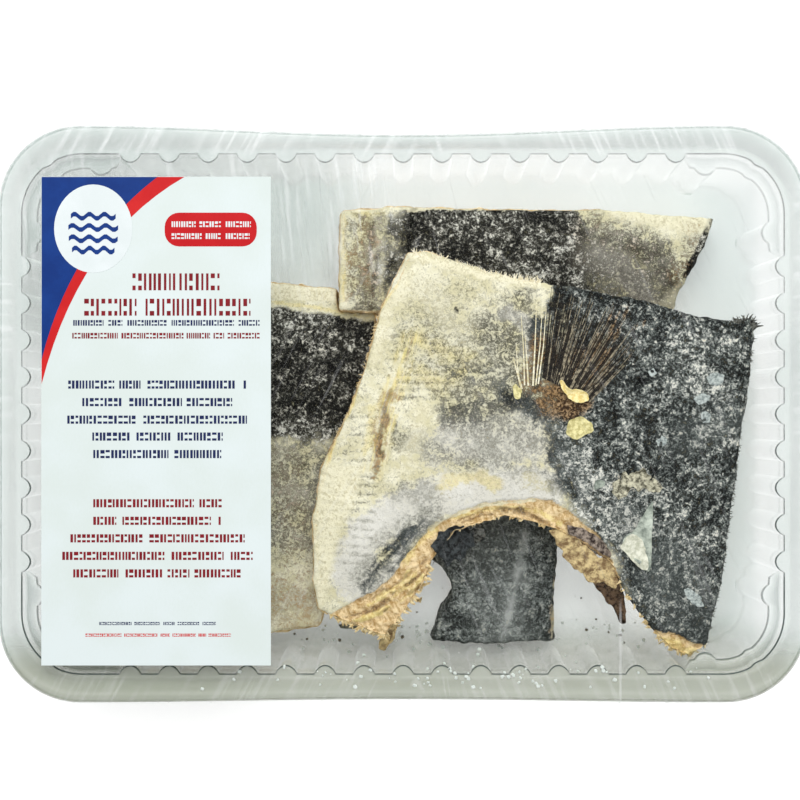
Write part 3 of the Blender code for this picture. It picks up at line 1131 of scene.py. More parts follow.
@dataclass
class WrapFilm:
    """The stretch film: a fold under the base, the sides drawn up to the rim, and a taut top."""

    box: RoundedBox = RoundedBox()
    thickness: float = 0.14 * MM
    side_steps: int = 44
    end_steps: int = 30
    corner_steps: int = 16
    ripple_mm: float = 0.35

    def levels(self) -> list[WallLevel]:
        """Return the levels of the film's outer face, from the fold's inner edge to the flat top."""
        rim = (103.6, 66.4)
        return [
            WallLevel(17.5, 0.0, (61.9, 22.7)),
            WallLevel(17.5, 0.0, (85.0, 45.0)),
            WallLevel(17.2, 0.0),
            WallLevel(18.2, 0.5),
            WallLevel(18.7, 2.0),
            WallLevel(20.3, 11.0, (103.9, 65.0), 0.2),
            WallLevel(22.4, 21.0, (103.8, 65.5), 0.5),
            WallLevel(24.6, 31.0, (103.7, 66.1), 0.8),
            WallLevel(26.3, 37.6, rim, 1.0),
            WallLevel(26.6, 39.6, rim, 1.0),
            WallLevel(26.5, 40.7, rim, 1.0),
            WallLevel(26.1, 41.4, rim, 1.0),
            WallLevel(25.3, 41.7, rim, 1.0),
            WallLevel(20.0, 41.72, rim, 0.6),
            WallLevel(10.0, 41.74, rim, 0.0),
        ]

    def stops(self) -> list[WallStop]:
        """Return the places on the way round, anticlockwise."""
        stops = []
        for quarter, side in enumerate(SIDES):
            steps = self.side_steps if side.along_x else self.end_steps
            straight = [side.stop(2.0 * index / steps - 1.0) for index in range(1, steps)]
            stops += side.anticlockwise(straight) + corner_stops(quarter, self.corner_steps)
        return stops

    def ripple(self, film: Piece) -> None:
        """Draw the film's sides in slightly in upright ripples, most between the rim and the base.

        Args:
            film: The film.
        """
        points = points_of(film)
        away = points[:, :2].copy()
        length = np.linalg.norm(away, axis=1)
        half_width, half_length = 93.0, 130.0
        angle = np.arctan2(away[:, 1] / half_width, away[:, 0] / half_length)
        around = np.stack([np.cos(angle) * 40.0, np.sin(angle) * 40.0, points[:, 2] * 60.0], axis=1)
        height = points[:, 2] / MM
        share = step(height, 1.0, 12.0) * (1.0 - step(height, 30.0, 38.0))
        inward = self.ripple_mm * MM * (1.0 + Roughcast(5).layered(around, 3.0, 3)) * share
        points[:, :2] -= away / np.maximum(length, 1e-9)[:, None] * inward[:, None]
        move_points(film, points)

    def build(self) -> Piece:
        """Build the film in place of its CAD node."""
        film = self.box.build("stretch_film_wrap", self.stops(), self.levels(), self.thickness)
        self.ripple(film)
        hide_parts("film")
        return dress(film, StretchFilm().material(), 50.0)


class Pigment(Enum):
    """What a mark paints on a cutlet. The value is the name of the attribute that the finish reads."""

    DARK = "dark"
    SALT = "salt"
    GREY = "grey"
    VIOLET = "violet"
    CREAM = "cream"
    YELLOW = "yellow"
    BROWN = "brown"
    FLESH = "flesh"
    STREAK = "streak"


DARK, SALT, GREY, VIOLET, CREAM, YELLOW, BROWN, FLESH, STREAK = Pigment


@dataclass(frozen=True)
class Mark:
    """A stroke on a cutlet's upper side, or a filled field if its width is 0, in millimetres from above.

    A positive strength lays the pigment on and a negative one takes it off. The lift raises the
    surface below the mark, or lowers it.
    """

    pigment: Pigment
    strength: float
    soft: float
    width: float
    path: tuple[Spot, ...]
    lift: float = 0.0

    def cover(self, places: np.ndarray, unevenness: np.ndarray) -> np.ndarray:
        """Return how much of the mark each place has.

        Args:
            places: The places, as rows of X and Y.
            unevenness: How far the mark's edge wanders at each one.

        Returns:
            The shares, from 0 to 1.
        """
        distance = path_distance(places, self.path, self.width == 0)
        distance = distance + unevenness * min(1.6, 0.25 + 0.35 * self.soft)
        edge = self.width / 2.0
        return 1.0 - step(distance, edge - self.soft / 2.0, edge + self.soft / 2.0)


def dab(
    pigment: Pigment, strength: float, soft: float, width: float, *course: float, lift: float = 0.0
) -> Mark:
    """Return a mark.

    Args:
        pigment: What it paints.
        strength: How strongly, from -1 to 1.
        soft: The width of its soft edge.
        width: Its own width, or 0 for a field.
        *course: X and Y of each point that it runs through, in turn.
        lift: How far it raises the surface.

    Returns:
        The mark.
    """
    return Mark(pigment, strength, soft, width, xy(*course), lift)


def bristles(count: int, spread: float, seed: int, mark: Mark) -> tuple[Mark, ...]:
    """Return many thin strokes of different lengths side by side along one mark's course.

    Args:
        count: How many strokes there are.
        spread: How far they lie to either side, in millimetres.
        seed: The seed of their places.
        mark: The middle stroke.

    Returns:
        The strokes.
    """
    chance = np.random.default_rng(seed)
    course = Course(mark.path)
    ends = course.ends / course.lengths.sum()
    along = course.corners[-1] - course.corners[0]
    across = np.array([-along[1], along[0]]) / np.linalg.norm(along)
    strokes = []
    for _ in range(count):
        start = chance.uniform(0.0, 0.6)
        shares = np.linspace(start, min(1.0, start + chance.uniform(0.25, 0.8)), 4)
        middle = np.stack([np.interp(shares, ends, course.corners[:, axis]) for axis in (0, 1)], axis=1)
        places = middle + across * chance.uniform(-spread, spread) + chance.normal(0.0, 0.12, (4, 2))
        path = tuple((float(x), float(y)) for x, y in places)
        strength = mark.strength * chance.uniform(0.5, 1.0)
        width = mark.width * chance.uniform(0.5, 1.3)
        strokes.append(replace(mark, path=path, strength=strength, width=width))
    return tuple(strokes)


def rungs(count: int, pitch: Spot, mark: Mark) -> tuple[Mark, ...]:
    """Return a mark repeated in even steps.

    Args:
        count: How many there are.
        pitch: The step from one to the next, in millimetres.
        mark: The first one.

    Returns:
        The marks.
    """
    return tuple(
        replace(mark, path=tuple((x + index * pitch[0], y + index * pitch[1]) for x, y in mark.path))
        for index in range(count)
    )


COLLAR_MARKS = (
    dab(
        DARK, 1, 10.6, 0, 51.2, 49.7, 61.8, 46.5, 94.1, 38.2, 128, 42, 127.4, 5.2, 121.8, -22.7, 118.8, -49.7,
        115.8, -92.7, 93, -87.4, 81.7, -76.1, 73.9, -68.4, 71, -58.6, 67.7, -46.8, 60.6, -38.2, 55.8, -30.2,
        51, -22.3, 48.4, -11.7, 46.7, -5.4, 45.7, 0.9, 47.3, 7.2, 51, 13.6, 51, 26.2,
    ),
    dab(DARK, 0.85, 2.8, 4.2, 50.1, 41.1, 49.5, 27.3, 48.3, 13.6),
    dab(DARK, 0.6, 3.2, 4.9, 34.1, 5.1, 44.6, -0.2, 49.9, -11.7, 56.3, -27.6),
    dab(DARK, 0.52, 6.3, 3.2, -12.5, -57.4, -7.1, -49.7, -0.5, -42.7, 6.3, -37.3),
    *bristles(12, 3.2, 9, dab(DARK, 0.5, 1, 0.8, -14.1, -58.6, -7.1, -49.7, 0.4, -42.1, 6.2, -37.8)),
    dab(DARK, 0.25, 6.3, 9.5, -10.3, -53.6, -0.7, -41.6, 7.8, -33),
    dab(GREY, 0.75, 7.4, 11.6, -10.3, -53.6, -0.7, -41.6, 7.8, -33),
    dab(DARK, 1, 0.4, 1.2, 17.1, 34.4, 17.5, 33.5, lift=-0.5),
    dab(DARK, 0.5, 5.3, 8.5, 16.2, -0.2, 25.7, 0.9, 34.1, 4.1, 42.5, 3.5),
    dab(DARK, 0.9, 2.8, 1.7, 47.8, 40.1, 46, 26.2, 44.9, 13.6),
    dab(GREY, 0.7, 5.3, 7.4, 39.5, 37.9, 41, 24.1, 41.7, 10.4),
    dab(BROWN, 0.6, 3.2, 5.3, 39.4, 10.4, 42.6, 15.7, 44.2, 23.1),
    dab(DARK, 0.9, 3.2, 4.2, 42.8, 30.5, 43.4, 19.9, 43.4, 10.4),
    dab(VIOLET, 0.6, 6.3, 11.6, 17.3, -7.5, 29.9, -11.8, 42.5, -10.7),
    dab(GREY, 0.8, 5.3, 8.5, 35.2, 34.7, 38.4, 22, 39.4, 11.5),
    dab(DARK, 0.35, 6.3, 6.3, 16.2, 13.6, 25.7, 13.6, 34.1, 9.3),
    *bristles(9, 7.4, 3, dab(DARK, 0.5, 1.5, 0.8, 46.7, -1.2, 51, -14.9, 58.4, -30.8)),
    dab(SALT, 0.85, 6.3, 11.6, 54.1, -9.6, 59.4, -18.1, 68, -27.6, 72.4, -38.3),
    *bristles(14, 5.3, 27, dab(SALT, 0.9, 0.8, 1.1, 51, -18.1, 57.4, -26.5, 63.8, -34)),
    dab(SALT, 0.25, 12.7, 25.4, 72.2, -3.3, 93.8, -1.2, 88.5, -33.1),
    dab(SALT, 0.3, 6.3, 10.6, 85.2, 13.6, 102.7, 9.4),
    dab(SALT, 0.3, 6.3, 12.7, 91.8, 25.4, 107.2, 20.1),
    dab(SALT, 0.25, 6.3, 12.7, 91.7, 13.7, 104.9, 7.3),
    dab(SALT, 0.3, 8.5, 15.9, 89.6, -29.9, 94.2, -46),
    dab(SALT, 0.25, 6.3, 12.7, 78.1, -59.8, 94.4, -57.9),
    dab(VIOLET, 0.6, 8.5, 19, 88.7, -49.1, 94.6, -65.5, 97.3, -82),
    dab(VIOLET, 0.6, 6.3, 9.5, 72.3, -33, 78.9, -45.8, 82.4, -59.8),
    dab(VIOLET, 0.5, 7.4, 12.7, 91.6, -7.6, 108.2, -1.2),
    dab(SALT, -1, 5.3, 5.3, 75.4, -5.4, 83, -18.2, 91.7, -20.3),
    dab(SALT, -0.7, 5.3, 5.3, 63.7, -1.2, 65.8, -11.8),
    dab(SALT, -0.8, 2.1, 4.2, 61.7, 28.4, 65.8, 5.1, 72.3, 22.1),
    dab(GREY, 1, 1.1, 1, 60.3, -5.4, 62.1, -11.8, 63.2, -18.1, 64.3, -25.5, lift=-0.5),
    dab(GREY, 1, 1.1, 1, 73.3, -7.5, 77.6, -15, 81.9, -20.3, 86.2, -21.4, lift=-0.5),
    dab(GREY, 0.8, 2.1, 2.5, 76.5, 9.4, 81.9, 13.6, lift=-0.2),
    dab(GREY, 0.7, 1.7, 2.1, 64.8, 13.6, 67.9, 5.1, 70.6, -3.3, lift=-0.2),
    dab(GREY, 0.8, 3.2, 5.3, 51.1, 37.9, 52.6, 27.3, 51, 13.6),
    dab(SALT, 1, 1.1, 1.1, 72.2, -8.6, 76, -15, 80.3, -20.3, lift=0.3),
    dab(GREY, 0.4, 12.7, 28.6, 12, 25.3, 29.9, 13.6, 32, -7.5),
    dab(GREY, 0.8, 6.3, 11.6, 29.9, 26.3, 39.4, 17.8, 40.4, 9.3),
    dab(GREY, 0.6, 5.3, 9.5, 19.4, 13.6, 29.9, 13.6, 34.1, 9.3),
    dab(GREY, 0.8, 6.3, 10.6, 16.2, 4.1, 29.9, 5.1, 44.6, 7.2),
    dab(GREY, 0.7, 6.3, 9.5, 17.3, -3.3, 32, -5.4, 46.7, -9.6),
    dab(GREY, 0.12, 4.2, 6.3, 1.4, 42.9, 17.3, 41.2, 34.2, 37.9),
    dab(GREY, 0.55, 3.6, 6.3, -1.8, -25.6, 3.5, -25.1, 8.8, -24.5),
    dab(GREY, 0.45, 6.3, 7.4, 25.7, -12.8, 38.3, -17, 49.9, -22.3),
    dab(GREY, 0.2, 4.2, 8.5, 12, 30.6, 25.7, 27.3),
    dab(GREY, 0.66, 6.3, 8.5, -1.8, -7.6, 10.9, -11.8, 21.5, -14.9),
    dab(GREY, 0.12, 5.3, 7.4, -15.7, -53.7, -2.8, -39.5, 10.9, -30.9, 29.9, -26, 46.8, -27.1),
    # Painted shade: rows of grey, slightly sunken bands give the fine ridges across the collar the shading of
    # their grooves.
    *rungs(
        11, (-0.32, -2.86),
        dab(GREY, 0.55, 0.7, 0.7, -25.3, -20.5, -17.8, -20.1, -8.1, -20.8, lift=-0.15),
    ),
    *rungs(9, (-0.21, -2.54), dab(GREY, 0.5, 0.6, 0.6, -3.9, 25.4, 6.7, 25.7, 19.4, 25, lift=-0.12)),
    *rungs(6, (-0.32, -2.86), dab(GREY, 0.45, 0.7, 0.7, -17.8, -1.2, -11.9, -0.9, -7.1, -1.2, lift=-0.12)),
    dab(
        VIOLET, 0.95, 6.3, 13.8, -17.8, -53.7, -12.4, -39.6, -2.8, -33.1, 10.9, -27.7, 29.9, -23.9,
        46.8, -24.9,
    ),
    dab(VIOLET, 0.22, 9.5, 21.2, 21.5, 7.2, 34.1, 0.9, 42.5, -5.4),
    dab(VIOLET, 0.8, 4.2, 6.3, 34.2, 33.1, 42.1, 28.4, 41.7, 19.9),
    dab(VIOLET, 0.35, 4.2, 6.3, 51, -7.5, 56.3, -20.2, 61.6, -28.7),
    dab(VIOLET, 0.5, 8.5, 14.8, 10.9, -11.8, 25.7, -7.5, 40.4, -3.3),
    dab(VIOLET, 0.9, 5.3, 7.4, -13, -59.6, -5.8, -52.4, 1.4, -45, 8.4, -37.9),
    dab(CREAM, 0.9, 1.5, 2.3, 3, 51.8, 11, 49.6, 19.5, 47, 25.8, 45, 34.2, 43.3, 43.2, 42.4, lift=0.3),
    dab(
        CREAM, 0.8, 5.3, 0, -27.4, -16.2, -12.4, -17.2, -16.2, -28.9, -22.1, -41.9, -24.9, -64.7, -30.9, -66,
        -31.9, -44.2, -30.2, -28,
    ),
    dab(CREAM, 0.6, 5.3, 5.3, 1.4, 46.7, -5, 32.8, -9.2, 17.9),
    dab(CREAM, 0.4, 8.5, 10.6, 6.7, 41.3, 17.3, 28.4),
    dab(CREAM, 0.5, 6.3, 6.3, 6.7, 0.9, 1.4, -15),
    dab(CREAM, 0.35, 4.2, 4.2, 40.4, -22.3, 48.9, -25.5, 54.2, -28.7),
    dab(DARK, 0.3, 4.2, 6.3, 51, -25.5, 57.4, -30.8, 64.9, -37.2),
    *bristles(9, 3.6, 5, dab(CREAM, 0.8, 0.5, 0.7, 1.4, 26.4, -2.8, 13.6, -5.8, 0.9, -8.7, -18.2)),
    dab(STREAK, 0.6, 5.3, 4.2, 3.5, 24.2, 0.1, 16.8, -3.9, 6.2),
    dab(STREAK, 1, 4.7, 4.2, -4.1, 4.1, -7.5, -7.6, -9, -17.2),
    *bristles(6, 3.6, 7, dab(YELLOW, 0.6, 1.1, 0.8, 3.5, 28, 0.1, 17.9, -4.7, 4.1, -8.6, -11.8, lift=0.15)),
    dab(YELLOW, 0.6, 2.1, 3.2, -10.1, 2, -11.1, -7.6, -12.4, -12.9),
    dab(YELLOW, 0.5, 2.5, 4.2, -4.3, -1.2, -5.8, -10.8, -7.5, -20.3),
    dab(YELLOW, 0.45, 3.2, 6.3, 2.5, 24.3, -1.8, 13.6, -5.2, 3, -7.1, -7.6),
    dab(YELLOW, 0.65, 6.3, 7.4, 7.2, 23.2, 13.1, 20, 19.4, 18.9),
    dab(YELLOW, 0.65, 6.3, 6.3, 5.7, 13.6, 13, 10.4, 17.3, 10.4),
    dab(YELLOW, 0.45, 3.2, 1.7, 19.4, 15.7, 24.6, 14.1),
    dab(YELLOW, 0.75, 3.8, 4.7, 13.1, -22.9, 19.4, -20.8, 25.7, -20.2, 29.9, -22.3),
    dab(YELLOW, 0.5, 2.8, 2.5, 40.4, -20.2, 46.8, -22.8),
    dab(YELLOW, 0.45, 2.8, 2.1, -17.8, 13.7, -14, 23.3, -11.4, 28.6),
    dab(YELLOW, 0.4, 4.2, 4.2, 72.2, -21.3, 78.7, -22.4, 83, -24.5),
    *bristles(
        9, 1.5, 13,
        dab(BROWN, 0.8, 0.7, 0.7, -3.7, 8.3, -5.8, -0.2, -7.1, -8.6, -8.6, -19.5, lift=-0.15),
    ),
    dab(BROWN, 0.42, 4.2, 5.3, -4.9, 5.2, -7.5, -5.5, -8.6, -17.2),
    dab(BROWN, 0.8, 2.3, 1.3, -5.8, 2, -6.9, -7.6, -8.1, -15, -8.8, -19.5, lift=-0.15),
    dab(GREY, 1, 0.6, 0.5, -6.4, -5.5, -7.5, -11.8, -8.6, -19.3, lift=-0.2),
    dab(
        BROWN, 0.85, 5.9, 0, 43.4, 9.3, 47.8, 13.6, 54.2, 14, 60, 9.3, 61, 2.5, 57.3, -2.8, 51, -2.5,
        44.8, 0.9, lift=0.9,
    ),
    dab(BROWN, 0.55, 4.2, 0, 46.8, 22, 61.6, 22, 68, 13.6, 61.6, 5.1, 46.8, 9.3),
    dab(BROWN, 0.12, 6.3, 6.3, 12, -3.3, 23.6, -0.2, 34.1, 3),
    dab(YELLOW, 0.3, 5.3, 6.3, 16.2, 5.1, 25.7, 3, 34.1, 4.1),
    dab(YELLOW, 0.5, 3.2, 5.3, 74.4, -21.3, 79.8, -21.9),
    dab(SALT, 0.35, 4.2, 8.5, 70.6, -22.3, 78.7, -23.4, 84.1, -25.6),
    dab(CREAM, 0.2, 4.2, 5.3, 71.2, -21.3, 77.6, -22.9, 84.1, -22.9, lift=0.2),
    *bristles(12, 3.2, 19, dab(DARK, 0.7, 0.6, 0.8, 70.6, -20.2, 77.6, -22.9, 85.2, -24)),
    dab(YELLOW, 0.25, 2.1, 3.2, 72.2, -21.3, 77.6, -22.9, 83, -22.9),
    dab(BROWN, 0.3, 4.2, 5.3, 70.6, -22.3, 78.7, -22.4),
    *bristles(16, 7.4, 17, dab(BROWN, 0.65, 0.8, 0.8, 73.5, 35.9, 69.1, 25.2, 60.5, 5.1)),
    *bristles(10, 4.2, 18, dab(DARK, 0.8, 0.6, 0.8, 73.5, 35.9, 69.1, 25.2, 61.6, 7.2)),
    dab(
        FLESH, 0.7, 0.3, 0.7, 2.3, 51.8, -1.8, 42.4, -7.8, 34.1, -10.7, 25.4, -13.5, 13.7, -16.7, 2.8,
        -21.2, -5.7, -24.4, -15.3, -27.5, -24.8, -28.9, -38.8, -28.1, -49.6, -26.9, -53.9,
    ),
    dab(
        FLESH, 1, 0.5, 0, -27.2, -67.4, -17.9, -63.1, -9.7, -58.5, -2.6, -52.4, 1.8, -45.4, 8.4, -37.7,
        13.1, -34.5, 19.4, -31.5, 25.7, -29.3, 34.1, -28.1, 42.6, -27.6, 48.9, -28.4, 53.6, -31.2, 57.6, -35,
        61.9, -38.2, 66, -42.5, 68.7, -47.9, 71, -53.8, 72.9, -59.2, 76.5, -65.6, 81.8, -70.9, 85.7, -72.1,
        89.3, -72.3, 93.7, -74.9, 99.6, -76.5, 105.3, -87.8, 89.7, -87.3, 73, -76, 62, -60.7, 51.2, -52.1,
        44.8, -41.4, 34.2, -36.1, 25.7, -37.2, 17.3, -41.5, 14.2, -49, 12.1, -57.6, 11, -68.4, 1.4, -80.6,
        -12.6, -80.9, -23.3, -71.3, lift=-1.1,
    ),
    dab(CREAM, 0.7, 0.8, 1.1, 8.8, -37.7, 13.1, -34.7, 19.4, -31.9, 25.7, -29.7, 34.1, -28.7, 42.6, -28.1),
    dab(YELLOW, 0.7, 1.5, 1.7, 16.2, -34, 25.7, -31.3, 35.2, -30.2, 44.7, -31.8, 51.1, -36.1),
    dab(YELLOW, 0.6, 1.1, 2.1, 51.1, -41.4, 56.5, -46.7, 61.8, -48.9, 68.3, -53.2),
    dab(YELLOW, 0.6, 1.5, 3.2, 1.4, -48, 4.6, -41.6, 11, -37.2),
    dab(YELLOW, 0.6, 1.5, 3.2, 86, -75.1, 90.5, -76.3, 99.4, -79.8),
    dab(BROWN, 0.4, 1.3, 1.7, 94.9, -76.4, 98.8, -77.6),
    dab(BROWN, 0.8, 1.5, 2.8, 53.8, -36.1, 57.5, -42.5, 63.9, -44.6, 67.1, -48.9),
    *bristles(
        8, 1.5, 21,
        dab(BROWN, 0.8, 0.5, 0.6, 13.1, -37.2, 25.7, -31.9, 38.4, -31.3, 51.1, -38.2, lift=-0.3),
    ),
    *bristles(
        10, 4.2, 23,
        dab(BROWN, 0.75, 0.6, 0.8, -22.2, -68, -10.3, -64.4, 1.4, -56.6, 8.9, -50.1, lift=-0.4),
    ),
    *bristles(
        8, 4.2, 25,
        dab(YELLOW, 0.8, 0.8, 1.5, -21.2, -67.9, -9.3, -64.4, 1.4, -57.7, 8.3, -46.9, lift=0.3),
    ),
    dab(DARK, 0.8, 1.5, 3.6, 53.8, -37.8, 59.6, -39.5, 64.4, -42.5),
    dab(
        YELLOW, 0.7, 0.6, 1.5, -1.8, 42.2, -7.8, 33.9, -10.9, 25.2, -13.7, 13.5, -16.9, 2.6, -21.4, -5.9,
        -24.6, -15.5, -27.5, -24.8, -28.8, -38.8, -27.8, -48.5,
    ),
    dab(CREAM, 0.6, 0.6, 1.5, -25.9, -50.6, -26.5, -53.9, -28.7, -56.6, lift=0.5),
    dab(GREY, 0.9, 0.4, 0.8, -26.7, -52.6, -27.6, -55, lift=-0.5),
)

FAR_MARKS = (
    dab(DARK, 1, 9.5, 0, 0.9, 79.4, 58.3, 79.7, 63.6, 29.3, -2.9, 29.2),
    dab(DARK, 0.7, 9.5, 0, 51.6, 63, 74.6, 62.1, 89, 56.7, 95.6, 42.5, 88, 25, 51.6, 27.1),
    dab(DARK, 0.5, 7.4, 0, -12.1, 68.4, 4.7, 70.6, 2.5, 29.2, -15.9, 29.2, -18.1, 47.6),
    *bristles(10, 6.3, 31, dab(DARK, 0.5, 1.5, 1.3, -5.1, 67.2, -6.1, 53, -8.3, 35.7)),
    dab(SALT, 0.35, 6.3, 8.5, 9.1, 65.1, 30.8, 60.7, 52.6, 57.5),
    dab(SALT, 0.4, 6.3, 6.3, 26.4, 49.8, 48.2, 46.6),
    dab(SALT, 0.4, 5.3, 12.7, 59.2, 57.6, 74.6, 55.5, 87.8, 50.1),
    dab(SALT, 0.5, 4.2, 9.5, -10.5, 57.4, -11.6, 44.4),
    *bristles(6, 2.3, 35, dab(SALT, 0.9, 0.6, 0.6, -7, 35.7, -2.9, 41.1, 3.6, 45.4)),
    dab(SALT, -0.7, 4.2, 6.3, 5.8, 61.8, 11.2, 55.2, 19.9, 58.5),
    dab(VIOLET, 0.7, 6.3, 9.5, 61.4, 53.2, 72.4, 50, 81.2, 40.3),
    dab(GREY, 0.6, 4.2, 10.6, 63.6, 63.1, 80.1, 58.8, 91.2, 46.9),
    dab(GREY, 0.5, 4.2, 8.5, -17, 64, -15.9, 48.7, -12.7, 35.7),
    dab(BROWN, 0.2, 7.4, 11.6, 60.3, 60.9, 74.6, 57.7, 88.9, 46.9),
    *bristles(8, 6.3, 33, dab(BROWN, 0.24, 3.6, 2.1, -11, 65.1, -13.2, 50.9, -13.2, 36.8)),
    dab(BROWN, 0.3, 10.6, 5.3, -10, 62.9, -12.1, 48.7, -11, 37.9),
    dab(CREAM, 0.9, 0.8, 1, -20.8, 68.2, -1.8, 68.6, 20, 68.8, 41.8, 69.1, 63.7, 69.1, 101.3, 67.7),
    dab(CREAM, 0.75, 5.3, 0, 67, 73.1, 108.1, 71.3, 103.4, 60.2, 91.2, 61.1, 80.2, 63.8, 68, 65.9),
    dab(CREAM, 0.6, 1.5, 2.3, -20.5, 67.3, -20.7, 55.2, -21.1, 42.2, -20.9, 33.5),
    dab(YELLOW, 0.5, 1.5, 1.5, -19.2, 67.3, -12.7, 67, -1.8, 67.2),
    dab(YELLOW, 0.9, 1.3, 1.7, -19.9, 66.2, -20.2, 50.9, -20.5, 37.9),
    dab(YELLOW, 0.45, 5.3, 7.4, -12.7, 65.1, -13.7, 48.7, -12.7, 36.8),
    dab(FLESH, 0.3, 3.2, 4.2, -19.9, 65.1, -19.8, 52, -20.1, 36.8),
    dab(CREAM, 0.4, 4.7, 5.3, 83.5, 33.7, 94.5, 42.5),
    dab(GREY, 0.6, 4.2, 6.3, 98.4, 62.3, 96.2, 54.6, 92.3, 46.9),
    dab(BROWN, 0.22, 3.2, 6.3, 98.4, 62.3, 96.2, 54.6, 92.3, 46.9),
    dab(SALT, -0.9, 0.8, 3.2, 105.2, 66.4, 101.9, 60.1, 99.6, 54.6, 96, 46.7),
    dab(DARK, 1, 0.8, 3.6, 105.2, 66.4, 101.9, 60.1, 99.6, 54.6, 96, 46.7, lift=0.2),
    dab(DARK, 1, 0.5, 1, 3.4, 68.1, 2.3, 60.7, 1.5, 53, 0.4, 38.9, lift=-1.4),
)

LEFT_MARKS = (
    dab(DARK, 1, 2, 0, -75.1, 35.7, -44.5, 36.4, -4.4, 30.3, -4.4, 6.4, -75.1, 6.4),
    dab(DARK, 1, 7.3, 0, -75.1, 9.8, -4.4, 9.8, -4.4, -8.8, -75.1, -8.8),
    dab(DARK, 0.42, 11.9, 0, -75.1, -5.4, -4.4, -5.4, -4.4, -47.5, -75.1, -47.5),
    dab(GREY, 0.5, 9.9, 0, -75.1, -12.1, -4.4, -12.1, -4.4, -49.2, -75.1, -49.2),
    dab(SALT, 0.5, 6.6, 9.9, -38.1, -5.4, -21.2, -8.8),
    dab(SALT, 0.45, 5.3, 9.9, -41.4, -22.2, -28, -29, -34.7, -42.5),
    dab(SALT, 0.25, 6.6, 19.8, -68.4, 30, -21.2, 30),
    dab(SALT, -0.9, 6.6, 13.2, -68.4, 12.1, -21.2, 9.8),
    dab(BROWN, 0.25, 11.9, 16.5, -41.4, -18.9, -34.7, -42.5, -38.1, -62.7),
    dab(BROWN, 0.4, 5.3, 16.5, -41.4, -62.7, -31.3, -66.7),
    dab(CREAM, 0.4, 5.3, 7.9, -71.8, -70.1, -28, -68.1),
    dab(CREAM, 1, 0.7, 0, -78.5, 48.5, -7.7, 47.8, -7.7, 37.4, -21.9, 37.7, -44.5, 39.1, -78.5, 39.1),
    dab(YELLOW, 0.7, 0.7, 1.2, -75.1, 38.4, -44.5, 37.7, -28, 35.7, -7.7, 31.7),
    dab(FLESH, 0.3, 4, 0, -75.1, -66.7, -24.6, -64.7, -24.6, -89.6, -75.1, -89.6),
)

TAIL_MARKS = (
    dab(DARK, 1, 2.1, 0, 7, -34.3, 55.5, -34.3, 57.7, -56.3, 53.3, -82.8, 7, -82.8),
    *bristles(10, 4.2, 41, dab(SALT, 0.6, 1.5, 1.1, 36.7, -40.9, 37.8, -56.3, 35.6, -78.4)),
    dab(SALT, 1, 4.2, 3.2, 41.1, -40.9, 39.2, -54.1, 36.2, -67.4, 32.9, -78.4),
    dab(DARK, -0.42, 3.2, 1.3, 41.1, -40.9, 39.2, -54.1, 36.2, -67.4, 32.9, -78.4),
    dab(VIOLET, 0.6, 8.5, 21.2, 31.2, -40.9, 33.4, -56.3, 33.4, -78.4),
    dab(SALT, 0.55, 9.5, 18, 26.8, -51.9, 30.1, -63, 31.2, -74),
    dab(SALT, -0.6, 5.3, 9.5, 13.6, -44.2, 26.8, -40.9, 40, -43.1, 48.8, -40.9),
    dab(SALT, -0.8, 4.2, 6.3, 31.2, -38.7, 29.6, -46.4, 26.8, -51.9),
    dab(SALT, -1, 5.3, 7.4, 11.9, -75.3, 18, -72.9, 23.5, -70.7),
    dab(DARK, -0.12, 6.3, 7.4, 37.8, -56.3, 35.6, -69.6, 31.2, -77.3),
    dab(BROWN, 0.5, 2.8, 1.7, 53.3, -50.8, 51.1, -63, 50.5, -77.3),
    dab(CREAM, 0.6, 0.6, 0.8, 51.1, -57.4, 50.8, -67.4, 50.6, -78.4),
    dab(YELLOW, 0.8, 0.5, 1.1, 25.2, -49.7, 26.4, -51.4),
)


@dataclass(frozen=True)
class EdgePull:
    """A far edge that lies pressed against the next cutlet: where it runs and where it is pulled to."""

    start: float
    edge: tuple[Spot, ...]
    target: float

    def moved(self, points: np.ndarray) -> np.ndarray:
        """Return how far each point moves towards the far side.

        Args:
            points: Rows of X, Y and Z.

        Returns:
            The distances, all in millimetres.
        """
        edge = np.interp(points[:, 0], [spot[0] for spot in self.edge], [spot[1] for spot in self.edge])
        share = np.clip((points[:, 1] - self.start) / (edge - self.start), 0.0, 1.0) ** 2
        return share * (self.target - edge)


